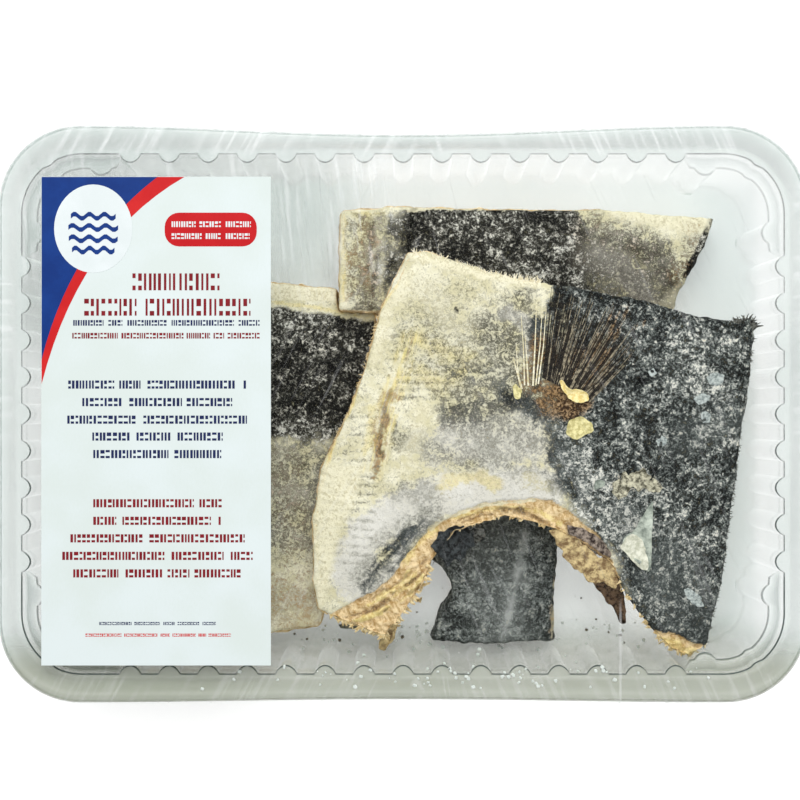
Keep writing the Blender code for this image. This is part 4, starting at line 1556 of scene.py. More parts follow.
@dataclass
class FishCutlet:
    """One cutlet: its CAD shape remeshed finely, then wrinkled, ragged at its edges and painted."""

    node: str
    name: str
    slot: str
    marks: tuple[Mark, ...]
    skin: DriedFish
    seed: int
    voxel: float = 0.75 * MM
    wrinkle_mm: float = 0.28
    ragged_mm: float = 0.55
    lowest_mm: float = 1.05
    ridges: Spot | None = None
    skin_from_x: float | None = None
    pull: EdgePull | None = None

    def solid(self) -> Piece:
        """Return an even fine mesh of the CAD node's shape, with its edges rounded a little."""
        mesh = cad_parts[self.node].data.copy()
        mesh.materials.clear()
        cutlet = bpy.data.objects.new(self.name, mesh)
        bpy.context.scene.collection.objects.link(cutlet)
        select_only(cutlet)
        with whole_mesh():
            bpy.ops.mesh.remove_doubles(threshold=0.01 * MM)
        apply_modifier(cutlet, "REMESH", mode="VOXEL", voxel_size=self.voxel)
        apply_modifier(cutlet, "SMOOTH", factor=0.5, iterations=5)
        return cutlet

    def laid_on(
        self, spots: np.ndarray, unevenness: np.ndarray
    ) -> tuple[dict[Pigment, np.ndarray], np.ndarray]:
        """Lay the marks on.

        Args:
            spots: The points' X and Y.
            unevenness: How far the marks' edges wander at each one.

        Returns:
            How much each point has of every pigment, and how far its marks raise it.
        """
        layers = {pigment: np.zeros(len(spots)) for pigment in Pigment}
        lift = np.zeros(len(spots))
        for mark in self.marks:
            cover = mark.cover(spots, unevenness)
            layer = layers[mark.pigment]
            if mark.strength > 0:
                layer += mark.strength * cover * (1.0 - layer)
            else:
                layer *= 1.0 + mark.strength * cover
            lift += mark.lift * cover
        return layers, lift

    def build(self) -> Piece:
        """Build the cutlet in place of its CAD node."""
        cutlet = self.solid()
        points = points_of(cutlet) / MM
        if self.pull is not None:
            points[:, 1] += self.pull.moved(points)
        normals = np.empty(len(points) * 3)
        cutlet.data.vertices.foreach_get("normal", normals)
        normals = normals.reshape(-1, 3)
        spots = points[:, :2].copy()
        roughcast = Roughcast(self.seed)
        top = step(normals[:, 2], 0.25, 0.7)
        side = 1.0 - step(np.abs(normals[:, 2]), 0.3, 0.75)
        layers, lift = self.laid_on(spots, roughcast.layered(points, 3.2, 4, 0.6))
        wrinkles = roughcast.layered(points, 6.0, 4, 0.55) * self.wrinkle_mm
        if self.ridges is not None:
            pitch, height = self.ridges
            wave = np.sin((spots[:, 1] + 0.6 * roughcast.single(points, 9.0)) * 2.0 * math.pi / pitch)
            uneven = 0.5 + 0.9 * roughcast.single(points, 14.0)
            wrinkles += wave * height * uneven * step(-spots[:, 0], -22.0, 0.0)
        torn = np.maximum(layers[FLESH], 0.0) * top
        fibres = roughcast.layered(points * np.array([0.5, 1.6, 1.0]), 1.6, 3, 0.7)
        points[:, 2] += top * (lift + wrinkles) + torn * fibres * 0.55
        flakes = roughcast.layered(points * np.array([0.6, 0.6, 3.0]), 3.0, 3, 0.65)
        points[:, :2] += unit_rows(normals[:, :2]) * (side * flakes * self.ragged_mm)[:, None]
        points[:, 2] = np.maximum(points[:, 2], self.lowest_mm)
        move_points(cutlet, points * MM)
        cover = top
        if self.skin_from_x is not None:
            above = 1.0 - step(-normals[:, 2], 0.3, 0.8)
            cover = np.maximum(top, above * step(spots[:, 0], self.skin_from_x, self.skin_from_x + 12.0))
        for pigment, layer in layers.items():
            shown = layer * cover
            if pigment is FLESH:
                shown = np.maximum(shown, 1.0 - cover)
            paint(cutlet, pigment.value, shown)
        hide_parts(self.node)
        return dress(cutlet, self.skin.material(), 80.0)


class Terrain:
    """What a loose bit lies on: the upper surface of some finished pieces."""

    def __init__(self, pieces: Sequence[Piece]) -> None:
        """Keep a search tree for each piece."""
        depsgraph = bpy.context.evaluated_depsgraph_get()
        self.trees = [BVHTree.FromObject(piece, depsgraph) for piece in pieces]

    def height(self, x: float, y: float, start: float = 60.0) -> float:
        """Return the height of what lies under a place, or of the tray's floor.

        Args:
            x: The place's X in millimetres.
            y: Its Y.
            start: The height that it is looked for from.

        Returns:
            The height in millimetres.
        """
        found = TRAY_FLOOR_MM
        for tree in self.trees:
            hit = tree.ray_cast(Vector((x, y, start)) * MM, Vector((0.0, 0.0, -1.0)))[0]
            if hit is not None:
                found = max(found, hit.z / MM)
        return found


def fibre_template(rings: int, sides: int = 5) -> Piece:
    """Return a fibre one unit long along Z and one across.

    Args:
        rings: How many even lengths it has.
        sides: How many sides it has.

    Returns:
        The fibre.
    """
    select_only()
    bpy.ops.mesh.primitive_cylinder_add(
        vertices=sides, radius=0.5, depth=1.0, end_fill_type="NGON", location=(0.0, 0.0, 0.5)
    )
    fibre = bpy.context.active_object
    bpy.ops.object.transform_apply(location=True)
    for index in range(1, rings):
        with whole_mesh():
            bpy.ops.mesh.bisect(plane_co=(0.0, 0.0, index / rings), plane_no=(0.0, 0.0, 1.0))
    return fibre


@dataclass(frozen=True)
class Strand:
    """Where one fibre lies: its course in millimetres, its width at the start and end, and its flatness."""

    course: tuple[tuple[float, float, float], ...]
    start_width: float
    end_width: float
    flatness: float = 0.6


def lay_strands(name: str, template: Piece, strands: Sequence[Strand]) -> Piece:
    """Bend copies of a fibre along their courses and keep them as one mesh.

    Args:
        name: The piece's name.
        template: The fibre, one unit long; it is removed.
        strands: Where the copies lie.

    Returns:
        The joined mesh.
    """
    model = points_of(template)
    faces = [tuple(face.vertices) for face in template.data.polygons]
    every_point, every_face = [], []
    for strand in strands:
        course = np.array(strand.course)
        place = np.clip(model[:, 2], 0.0, 1.0) * (len(course) - 1)
        low = np.minimum(place.astype(int), len(course) - 2)
        share = (place - low)[:, None]
        spine = between(course, low, share)
        along = unit_rows(course[low + 1] - course[low])
        across = unit_rows(np.cross(along, np.array([0.0, 0.0, 1.0])))
        up = np.cross(across, along)
        width = strand.start_width + (strand.end_width - strand.start_width) * model[:, 2:3]
        body = spine + across * model[:, 0:1] * width + up * model[:, 1:2] * width * strand.flatness
        start = sum(len(points) for points in every_point)
        every_point.append(body * MM)
        every_face += [tuple(start + index for index in face) for face in faces]
    bpy.data.objects.remove(template, do_unlink=True)
    piece = mesh_piece(name, every_point, every_face)
    select_only(piece)
    with whole_mesh():
        bpy.ops.mesh.normals_make_consistent(inside=False)
    return piece


@dataclass
class Fringe:
    """Frayed fibres that stand out along a torn or cut edge."""

    name: str
    owner: str
    slot: str
    path: tuple[Spot, ...]
    count: int
    length_mm: tuple[float, float]
    width_mm: tuple[float, float]
    outward_degrees: float
    finish: DryScrap
    seed: int
    spread_degrees: float = 50.0
    inset_mm: float = 0.8
    droop_mm: float = 0.6
    steps_back: int = 8
    step_back_mm: float = 0.7
    lowest_foot_mm: float = 5.0

    def build(self, terrain: Terrain) -> Piece:
        """Build the fibres.

        Args:
            terrain: What they stand on; a foot that misses it is moved back.

        Returns:
            The fringe.
        """
        chance = np.random.default_rng(self.seed)
        edge = Course(self.path)
        strands = []
        for _ in range(self.count):
            index, rest = edge.find(chance.uniform(0.0, edge.ends[-1]))
            along = (edge.corners[index + 1] - edge.corners[index]) / max(edge.lengths[index], 1e-9)
            foot = edge.corners[index] + along * rest
            bearing = math.atan2(along[1], along[0]) + math.radians(self.outward_degrees)
            bearing += math.radians(chance.uniform(-self.spread_degrees, self.spread_degrees))
            heading = np.array([math.cos(bearing), math.sin(bearing)])
            foot = foot - heading * self.inset_mm
            length = self.inset_mm + chance.uniform(*self.length_mm)
            base = terrain.height(foot[0], foot[1])
            for _ in range(self.steps_back):
                if base > self.lowest_foot_mm:
                    break
                foot = foot - heading * self.step_back_mm
                base = terrain.height(foot[0], foot[1])
            bend = chance.uniform(-0.35, 0.35)
            sink = chance.uniform(0.0, 0.8)
            course = []
            for share in (0.0, 0.35, 0.7, 1.0):
                spot = foot + heading * length * share
                spot = spot + np.array([-heading[1], heading[0]]) * bend * length * share * share
                height = base - 0.15 - sink - self.droop_mm * share * share + 0.25 * share
                course.append((float(spot[0]), float(spot[1]), max(1.2, float(height))))
            width = chance.uniform(*self.width_mm)
            strands.append(Strand(tuple(course), width, width * 0.25))
        fringe = lay_strands(self.name, fibre_template(3, 4), strands)
        return dress(fringe, self.finish.material(), 60.0)


@dataclass
class PectoralFin:
    """The collar's fin: a few bare pale rays and a close fan of dark ones, lying on the skin."""

    bare_rays: tuple[tuple[Spot, ...], ...] = (
        xy(39.4, 9.3, 39, 22, 38.4, 31.8),
        xy(40.6, 9.1, 40.1, 17.8, 39.6, 25.2),
        xy(42.1, 9.1, 42.8, 22, 43.4, 36.3),
        xy(43, 9.3, 44.4, 22, 45.2, 33.5),
        xy(43.8, 9.7, 45.5, 22, 46.5, 34.2),
        xy(38.5, 8.1, 36.9, 13.6, 35.7, 18.6),
        xy(37.9, 9.3, 37.1, 15.1, 36.7, 23.1),
    )
    root: tuple[Spot, ...] = xy(45.3, 11.7, 60.3, 3.9)
    tips: tuple[Spot, ...] = xy(
        48.2, 40.3, 52.2, 40.9, 56.5, 40.5, 61.8, 39.2, 67.1, 37.8, 72.4, 35.9,
        75.6, 31.6, 76.2, 25.3, 74.4, 17.8,
    )
    ray_steps: int = 8
    fan_count: int = 110
    seed: int = 11

    def on_skin(
        self, terrain: Terrain, path: Sequence[Spot], rise_mm: float, steps: int
    ) -> tuple[tuple[float, float, float], ...]:
        """Return points along a path that follow the skin a little above it.

        Args:
            terrain: The skin.
            path: The path, seen from above.
            rise_mm: How far above the skin they arch.
            steps: How many steps there are between its two ends.

        Returns:
            The points.
        """
        corners = np.array(path)
        places = np.linspace(0.0, len(corners) - 1.0, steps + 1)
        course = []
        for place in places:
            spot = point_at(corners, place)
            share = place / (len(corners) - 1.0)
            rise = rise_mm * (0.35 + math.sin(math.pi * min(1.0, share * 1.2)))
            course.append((float(spot[0]), float(spot[1]), terrain.height(spot[0], spot[1]) + rise))
        return tuple(course)

    def build(self, terrain: Terrain) -> list[Piece]:
        """Build the bare rays, and the fan in two shades.

        Args:
            terrain: The skin that they lie on.

        Returns:
            The three pieces.
        """
        chance = np.random.default_rng(self.seed)
        pale = [
            Strand(self.on_skin(terrain, path, 0.4, self.ray_steps), chance.uniform(0.5, 0.8), 0.2)
            for path in self.bare_rays
        ]
        shades: dict[bool, list[Strand]] = {True: [], False: []}
        tips = np.array(self.tips)
        for index in range(self.fan_count):
            share = (index + chance.uniform(0.0, 0.8)) / self.fan_count
            start = np.array(self.root[0]) * (1.0 - share) + np.array(self.root[1]) * share
            tip = point_at(tips, share * (len(tips) - 1.0))
            tip = start + (tip - start) * chance.uniform(0.6, 1.06)
            middle = (start + tip) / 2.0 + chance.uniform(-0.5, 0.5, 2)
            path = (tuple(start), tuple(middle), tuple(tip))
            course = self.on_skin(terrain, path, 0.18, self.ray_steps)
            width = chance.uniform(0.35, 0.6)
            light = chance.random() < 0.12 + 0.42 * share
            shades[light].append(Strand(course, width, width * 0.3, 0.5))
        made = []
        for name, strands, finish in (
            ("fin_bare_rays", pale, RAY_HORN),
            ("fin_dark_rays", shades[False], RAY_BLACK),
            ("fin_tan_rays", shades[True], RAY_TAN),
        ):
            rays = lay_strands(name, fibre_template(self.ray_steps), strands)
            made.append(dress(rays, finish.material(), 60.0))
        return made


@dataclass(frozen=True)
class Scrap:
    """A loose flat bit that lies on the fish: its outline, finish, thickness and curl."""

    name: str
    finish: DryScrap
    outline: tuple[Spot, ...]
    rise_mm: float = 0.15
    thickness_mm: float = 0.25
    curl_mm: float = 0.5
    ragged_mm: float = 0.3
    ground: str = "collar"
    droop: tuple[Spot, float] | None = None
    lowest_mm: float = 1.3
    hangs_over: bool = False

    def rounded_outline(self, count: int) -> list[Spot]:
        """Return the outline as evenly spaced points.

        Args:
            count: How many there are.

        Returns:
            The points.
        """
        edge = Course((*self.outline, self.outline[0]))
        spots = []
        for index in range(count):
            low, rest = edge.find(edge.ends[-1] * index / count)
            spots.append(tuple(between(edge.corners, low, rest / max(edge.lengths[low], 1e-9))))
        return spots

    def build(self, terrain: Terrain) -> Piece:
        """Build the bit as a thin curled sheet.

        Args:
            terrain: What it lies on.

        Returns:
            The bit.
        """
        corner_count = 32
        select_only()
        bpy.ops.mesh.primitive_circle_add(vertices=corner_count, radius=1.0, fill_type="NOTHING")
        sheet = bpy.context.active_object
        sheet.name = self.name
        for vertex, spot in zip(sheet.data.vertices, self.rounded_outline(corner_count), strict=True):
            vertex.co = (spot[0] * MM, spot[1] * MM, 0.0)
        with whole_mesh():
            bpy.ops.mesh.fill_grid(span=corner_count // 4)
            bpy.ops.mesh.subdivide(number_cuts=1)
        points = points_of(sheet) / MM
        edge = -path_distance(points[:, :2], self.outline, True)
        widest = max(edge.max(), 1e-6)
        roughcast = Roughcast(len(self.name))
        noise = roughcast.layered(points, 2.0, 2)
        outward = unit_rows(points[:, :2] - points[:, :2].mean(axis=0))
        shift = roughcast.layered(points, 1.5, 3, 0.7) * self.ragged_mm * step(-edge / widest, -0.5, 0.0)
        points[:, :2] += outward * shift[:, None]
        for index, point in enumerate(points):
            away = 1.0 - min(1.0, edge[index] / widest)
            height = terrain.height(point[0], point[1]) + self.rise_mm
            height += self.curl_mm * away * away * (0.6 + 0.6 * noise[index]) + 0.12 * noise[index]
            points[index, 2] = height
        if self.droop is not None:
            (start_x, start_y), fall = self.droop
            away = np.hypot(points[:, 0] - start_x, points[:, 1] - start_y)
            top = terrain.height(start_x, start_y)
            hung = np.maximum(top - fall * away, self.lowest_mm) + 0.4 * noise
            points[:, 2] = np.maximum(points[:, 2], hung) if self.hangs_over else hung
        move_points(sheet, points * MM)
        select_only(sheet)
        with whole_mesh():
            bpy.ops.mesh.normals_make_consistent(inside=False)
        if sum(face.normal.z * face.area for face in sheet.data.polygons) < 0.0:
            with whole_mesh():
                bpy.ops.mesh.flip_normals()
        apply_modifier(sheet, "SOLIDIFY", thickness=self.thickness_mm * MM, offset=-1.0)
        apply_modifier(sheet, "SUBSURF", levels=1, render_levels=1)
        return dress(sheet, self.finish.material(), 60.0)


def scatter(name: str, template: Piece, placements: Sequence[Matrix]) -> Piece:
    """Copy a small template to many places as one mesh.

    Args:
        name: The piece's name.
        template: What is copied; it is removed.
        placements: Where each copy lies.

    Returns:
        The piece.
    """
    model = np.c_[points_of(template), np.ones(len(template.data.vertices))]
    faces = [tuple(face.vertices) for face in template.data.polygons]
    points, every_face = [], []
    for index, placement in enumerate(placements):
        points.append((model @ np.array(placement).T)[:, :3])
        every_face += [tuple(index * len(model) + corner for corner in face) for face in faces]
    bpy.data.objects.remove(template, do_unlink=True)
    return mesh_piece(name, points, every_face)


@dataclass
class LooseGrains:
    """Salt grains on the tray's ledge and floor, and dark crumbs of skin."""

    seed: int = 21
    salt_count: int = 190
    crumb_count: int = 46
    below_film: float = 41.2
    below_rim: float = 40.3
    near_floor: float = 3.0

    def template(self) -> Piece:
        """Return one bevelled grain."""
        select_only()
        bpy.ops.mesh.primitive_cube_add(size=MM)
        grain = bpy.context.active_object
        with whole_mesh():
            bpy.ops.mesh.bevel(offset=0.18 * MM, segments=1)
        return grain

    def placement(
        self, chance: np.random.Generator, x: float, y: float, z: float, smallest: float, largest: float
    ) -> Matrix:
        """Return where one grain lies, how it is turned and how large it is.

        Args:
            chance: The source of what is random.
            x: The grain's X in millimetres.
            y: Its Y.
            z: The height of the ground there.
            smallest: Its least size.
            largest: Its greatest size.

        Returns:
            The placement.
        """
        size = chance.uniform(smallest, largest)
        turn = Matrix.Rotation(chance.uniform(0.0, math.pi), 4, "Z")
        tilt = Matrix.Rotation(chance.uniform(-0.5, 0.5), 4, "X")
        stretch = Matrix.Diagonal((size, size * chance.uniform(0.6, 1.0), size * 0.6, 1.0))
        return Matrix.Translation(Vector((x, y, z + 0.3 * size)) * MM) @ turn @ tilt @ stretch

    def build(self, tray_ground: Terrain, all_ground: Terrain) -> list[Piece]:
        """Build the salt and the crumbs.

        Args:
            tray_ground: The tray alone.
            all_ground: The tray and the cutlets.

        Returns:
            The two pieces.
        """
        chance = np.random.default_rng(self.seed)
        salt, crumbs = [], []
        for _ in range(self.salt_count):
            x = chance.normal(20.0, 44.0)
            y = chance.uniform(-89.5, -72.0)
            if not -68.0 < x < 100.0:
                continue
            z = tray_ground.height(x, y, self.below_film)
            if z < self.below_rim:
                salt.append(self.placement(chance, x, y, z, 0.3, 1.3))
        for _ in range(self.crumb_count):
            x, y = chance.uniform(-40.0, 90.0), chance.uniform(-80.0, -58.0)
            z = all_ground.height(x, y, self.below_film)
            if z < self.near_floor:
                crumbs.append(self.placement(chance, x, y, z, 0.3, 1.1))
        salt_piece = scatter("salt_grains", self.template(), salt)
        crumb_piece = scatter("skin_crumbs", self.template(), crumbs)
        return [
            dress(salt_piece, SALT_WHITE.material(), 20.0),
            dress(crumb_piece, SKIN_CRUMB.material(), 20.0),
        ]


COLLAR_SKIN = DriedFish(
    "collar_skin", slate=tone(46, 50, 49), ash=tone(112, 118, 114), haze=tone(90, 96, 94), bloom=0.12
)
SLAB_SKIN = DriedFish("slab_skin", haze=tone(118, 112, 100), contrast=1.12)
TAIL_SKIN = DriedFish(
    "tail_skin", pale=tone(184, 188, 182), pale_shade=tone(144, 150, 144), slate=tone(56, 60, 58),
    ash=tone(108, 114, 111), salt=tone(176, 182, 178), bloom=0.32, contrast=0.84,
)
LEFT_SLAB_PULL = EdgePull(20, xy(-90, 34.35, -22.6, 34.35, -22.2, 34, -9.4, 31, -5, 31), 34.35)
CUTLETS = {
    "collar": FishCutlet(
        "cutlet_collar", "collar_cutlet", "fish_pale", COLLAR_MARKS, COLLAR_SKIN, 1, 0.65 * MM,
        ridges=(2.9, 0.08), skin_from_x=8.0,
    ),
    "left": FishCutlet(
        "cutlet_slab_left", "left_slab", "fish_grey", LEFT_MARKS, SLAB_SKIN, 2, pull=LEFT_SLAB_PULL
    ),
    "far": FishCutlet("cutlet_slab_far", "far_slab", "fish_dark", FAR_MARKS, SLAB_SKIN, 3, skin_from_x=60.0),
    "tail": FishCutlet(
        "cutlet_tail", "tail_piece", "fish_tail", TAIL_MARKS, TAIL_SKIN, 4, ragged_mm=0.7, skin_from_x=-60.0
    ),
}

FAT = DryScrap("dried_fat", tone(226, 202, 128), tone(252, 240, 184))
FAT_GREEN = DryScrap("dried_fat_green", tone(188, 178, 118), tone(238, 230, 172))
MEMBRANE = DryScrap("pale_membrane", tone(116, 126, 116), tone(204, 212, 198), 5.5)
CREAM_MEMBRANE = DryScrap("cream_membrane", tone(186, 188, 166), tone(236, 236, 218), 2.2)
CRUST = DryScrap("pale_crust", tone(70, 68, 54), tone(214, 210, 184), 1.8)
MEMBRANE_GREY = DryScrap("grey_membrane", tone(120, 130, 128), tone(196, 204, 200), 1.0)
TORN_BROWN = DryScrap("torn_brown_skin", tone(42, 32, 28), tone(128, 104, 82), 1.8)
TORN_SKIN = DryScrap("torn_grey_skin", tone(52, 42, 38), tone(168, 154, 140), 1.6)
TORN_BLACK = DryScrap("torn_black_skin", tone(16, 17, 18), tone(70, 75, 76), 1.8)
TORN_GREY = DryScrap("torn_pale_grey_skin", tone(40, 42, 42), tone(158, 162, 158), 1.6)
TORN_FLESH = DryScrap("torn_flesh", tone(122, 98, 68), tone(220, 198, 146), 2.4)
FLOOR_GREY_PATCH = DryScrap("grey_floor_patch", tone(92, 94, 82), tone(150, 152, 138), 1.6)
CREAM_FIBRE = DryScrap("cream_fibre", tone(226, 214, 176), tone(254, 248, 226))
AMBER_FIBRE = DryScrap("amber_fibre", tone(206, 176, 118), tone(250, 232, 186))
BLACK_FIBRE = DryScrap("black_fibre", tone(22, 22, 22), tone(112, 112, 104))
RAY_HORN = DryScrap("fin_ray_horn", tone(204, 192, 146), tone(248, 244, 222))
RAY_BLACK = DryScrap("fin_ray_black", tone(10, 9, 8), tone(50, 44, 36))
RAY_TAN = DryScrap("fin_ray_tan", tone(58, 52, 42), tone(166, 156, 132))
SALT_WHITE = DryScrap("salt_white", tone(208, 216, 210), tone(232, 238, 233))
SKIN_CRUMB = DryScrap("skin_crumb", tone(50, 48, 42), tone(132, 122, 100))

SCRAPS = (
    Scrap(
        "flake_curled", FAT,
        xy(
            50.7, 10.4, 51.6, 11, 52.3, 9.3, 53.5, 8.1, 55.7, 8.1, 58.2, 7.2, 60.1, 6.2, 60.1, 4.8, 57.5, 3.4,
            55, 4.1, 52.9, 6, 51.3, 7.9,
        ),
        rise_mm=1, curl_mm=1.3, ragged_mm=0.4,
    ),
    Scrap(
        "flake_round", FAT_GREEN,
        xy(
            53.3, -3.5, 54.3, -1.8, 56.9, -1, 59.2, -1.2, 61.3, -3.1, 62, -4.9, 60.5, -6.3, 58.1, -7.1,
            56.5, -8.5, 54.5, -8, 52.9, -6.3,
        ),
        rise_mm=0.35, curl_mm=0.9,
    ),
    Scrap(
        "flake_small", FAT_GREEN,
        xy(35.7, 8.7, 36.6, 9.6, 37.7, 8.5, 38.5, 7, 37.9, 5, 36.2, 5, 35.5, 6.4),
        rise_mm=0.3,
    ),
    Scrap(
        "skin_flap", MEMBRANE,
        xy(
            81.2, -28.2, 81.3, -34.1, 80.8, -41.5, 80.7, -51.8, 78.8, -51.2, 76.8, -48.5, 74.1, -46.3,
            71.1, -42, 72.4, -39.3, 75.1, -37.8, 77.2, -34.1, 79, -31.4,
        ),
        rise_mm=0.3, curl_mm=1.4, ragged_mm=0.4,
    ),
    Scrap(
        "torn_strip", TORN_BROWN,
        xy(
            60.5, -47.4, 66.1, -48.5, 70, -51.9, 72.1, -56.3, 74.5, -63.3, 75.6, -71.8, 73.4, -71.1,
            70.9, -65.7, 68.1, -61.6, 64, -58.2, 61.7, -52.9,
        ),
        thickness_mm=0.9, curl_mm=0.8, ragged_mm=0.7, droop=((65.5, -44.1), 0.6),
    ),
    Scrap(
        "torn_patch", TORN_SKIN,
        xy(
            53.4, -36.1, 58.5, -37.1, 64.4, -40.9, 68, -45.7, 66.6, -48.9, 61.8, -48.9, 57.5, -46.7,
            54.3, -42.5,
        ),
        rise_mm=0.3, curl_mm=0.9,
    ),
    Scrap(
        "torn_lump_left", TORN_FLESH,
        xy(
            47.9, -38.2, 51.1, -36.7, 54.8, -38.4, 57.5, -41.4, 61.2, -43.8, 63.7, -47.4, 61.8, -51,
            57.7, -52.5, 56, -50.1, 53.5, -48, 50.7, -44.1,
        ),
        curl_mm=1.8, thickness_mm=1.2, ragged_mm=0.9, droop=((55.1, -37.1), 0.12),
    ),
    Scrap(
        "torn_lump_right", TORN_FLESH,
        xy(
            58.6, -45.9, 62.3, -45.5, 66.6, -47.4, 69.1, -50, 71.1, -54.7, 68.5, -57.1, 65.1, -54.7,
            62.7, -55.7, 59.9, -53.8, 58.4, -49.9,
        ),
        curl_mm=1.4, thickness_mm=1, ragged_mm=0.9, droop=((61.7, -41.9), 0.12),
    ),
    Scrap(
        "hanging_strip", TORN_FLESH,
        xy(
            -9.8, -68.8, -5.9, -66.8, -1.4, -65.7, -2.2, -70.5, -4.7, -75.2, -5.8, -79.7, -8.1, -78.7,
            -7.7, -73.9, -9.6, -71.8,
        ),
        thickness_mm=0.9, curl_mm=0.9, ragged_mm=0.8, droop=((-5, -65.4), 0.5),
    ),
    # A thin grey sheet lying on the tray's floor, which darkens a short stretch of it near the near wall.
    Scrap(
        "floor_smear", FLOOR_GREY_PATCH,
        xy(-22.5, -73, -17.9, -72.4, -11, -72.9, -12, -74.1, -17.9, -74.6, -21.4, -74.2),
        rise_mm=0.3, curl_mm=0.1, thickness_mm=0.2,
    ),
    Scrap(
        "tail_torn_skin", TORN_BLACK,
        xy(
            9.3, -43.2, 10.8, -39, 13.2, -37.5, 16.4, -36.3, 20.9, -37.2, 24, -39.9, 23.8, -43.9, 20.3, -46,
            19.6, -49, 16.4, -48.2, 14.8, -51, 12.7, -48.3, 11, -45.8,
        ),
        rise_mm=1.1, curl_mm=0.5, thickness_mm=0.9, ragged_mm=1.1, droop=((10.2, -44.0), 0.4),
        hangs_over=True,
    ),
    Scrap(
        "tail_torn_lump", TORN_GREY,
        xy(18.6, -39.9, 20.1, -38.2, 24.5, -37.7, 27.2, -39, 27.6, -41.9, 24.5, -44.1, 20.7, -43.7),
        curl_mm=1.2, thickness_mm=0.6, ragged_mm=0.6, ground="tail",
    ),
    Scrap(
        "flap_fold", CREAM_MEMBRANE,
        xy(
            70.7, -43.3, 72.3, -40.4, 74.6, -38.7, 77.2, -40.1, 78.9, -43.7, 79.8, -47.6, 80.1, -51.2,
            78.4, -50.9, 76.4, -49.7, 73.7, -46.9,
        ),
        rise_mm=0.9, curl_mm=0.8, thickness_mm=0.25, ragged_mm=0.3,
    ),
    Scrap(
        "crust_left", CRUST,
        xy(68.2, -25, 69.6, -21.4, 71.8, -19.2, 74.5, -19.5, 75.1, -22.8, 73.1, -26.4, 70.2, -27.3),
        rise_mm=0.1, curl_mm=0.5, thickness_mm=0.3, ragged_mm=0.9,
    ),
    Scrap(
        "crust_middle", CRUST,
        xy(73.7, -20.1, 75.8, -17.9, 78.8, -18.2, 80.7, -20.5, 79.8, -23.8, 76.4, -25, 73.8, -23.4),
        rise_mm=0.35, curl_mm=0.6, thickness_mm=0.3, ragged_mm=0.9,
    ),
    Scrap(
        "crust_right", CRUST,
        xy(79.1, -22.8, 81.4, -20.8, 84.1, -22.2, 85.1, -24.4, 82.7, -26, 80.4, -25.4),
        rise_mm=0.1, curl_mm=0.5, thickness_mm=0.3, ragged_mm=0.7,
    ),
    Scrap(
        "pale_scale", MEMBRANE_GREY,
        xy(92, -57.6, 93.8, -57.2, 96.2, -58.4, 98.2, -60.6, 98.9, -63.1, 97, -63.6, 94.5, -62, 92.7, -59.8),
        curl_mm=0.3,
    ),
    Scrap(
        "scale_speck", MEMBRANE,
        xy(61.8, -23.4, 63.2, -21.7, 65.4, -21.7, 65.5, -23, 63.5, -24.3, 62.1, -24.6),
        curl_mm=0.2,
    ),
    *(
        Scrap(f"scale_{place}", MEMBRANE_GREY, outline, rise_mm=0.05, curl_mm=curl, thickness_mm=0.15)
        for place, curl, outline in (
            ("upper", 0.2, xy(99.1, 12.1, 102.1, 13.9, 105.3, 12.6, 104.9, 10.3, 102.6, 9.1, 100.4, 9.8)),
            ("middle", 0.2, xy(94.9, 4.9, 97.7, 6.9, 100.9, 6, 100, 3.7, 96.6, 3.1)),
            ("lower", 0.2, xy(97.3, -0.2, 98.9, 1, 100.7, -0.2, 100.3, -2.6, 98, -3)),
            ("inner", 0.2, xy(82.6, -8.8, 84.2, -7, 85.9, -8, 85.3, -10.2, 83.4, -10.6)),
            ("left", 0.15, xy(79.5, 13.6, 81.7, 14.9, 82.6, 13.4, 81, 11.7)),
        )
    ),
)

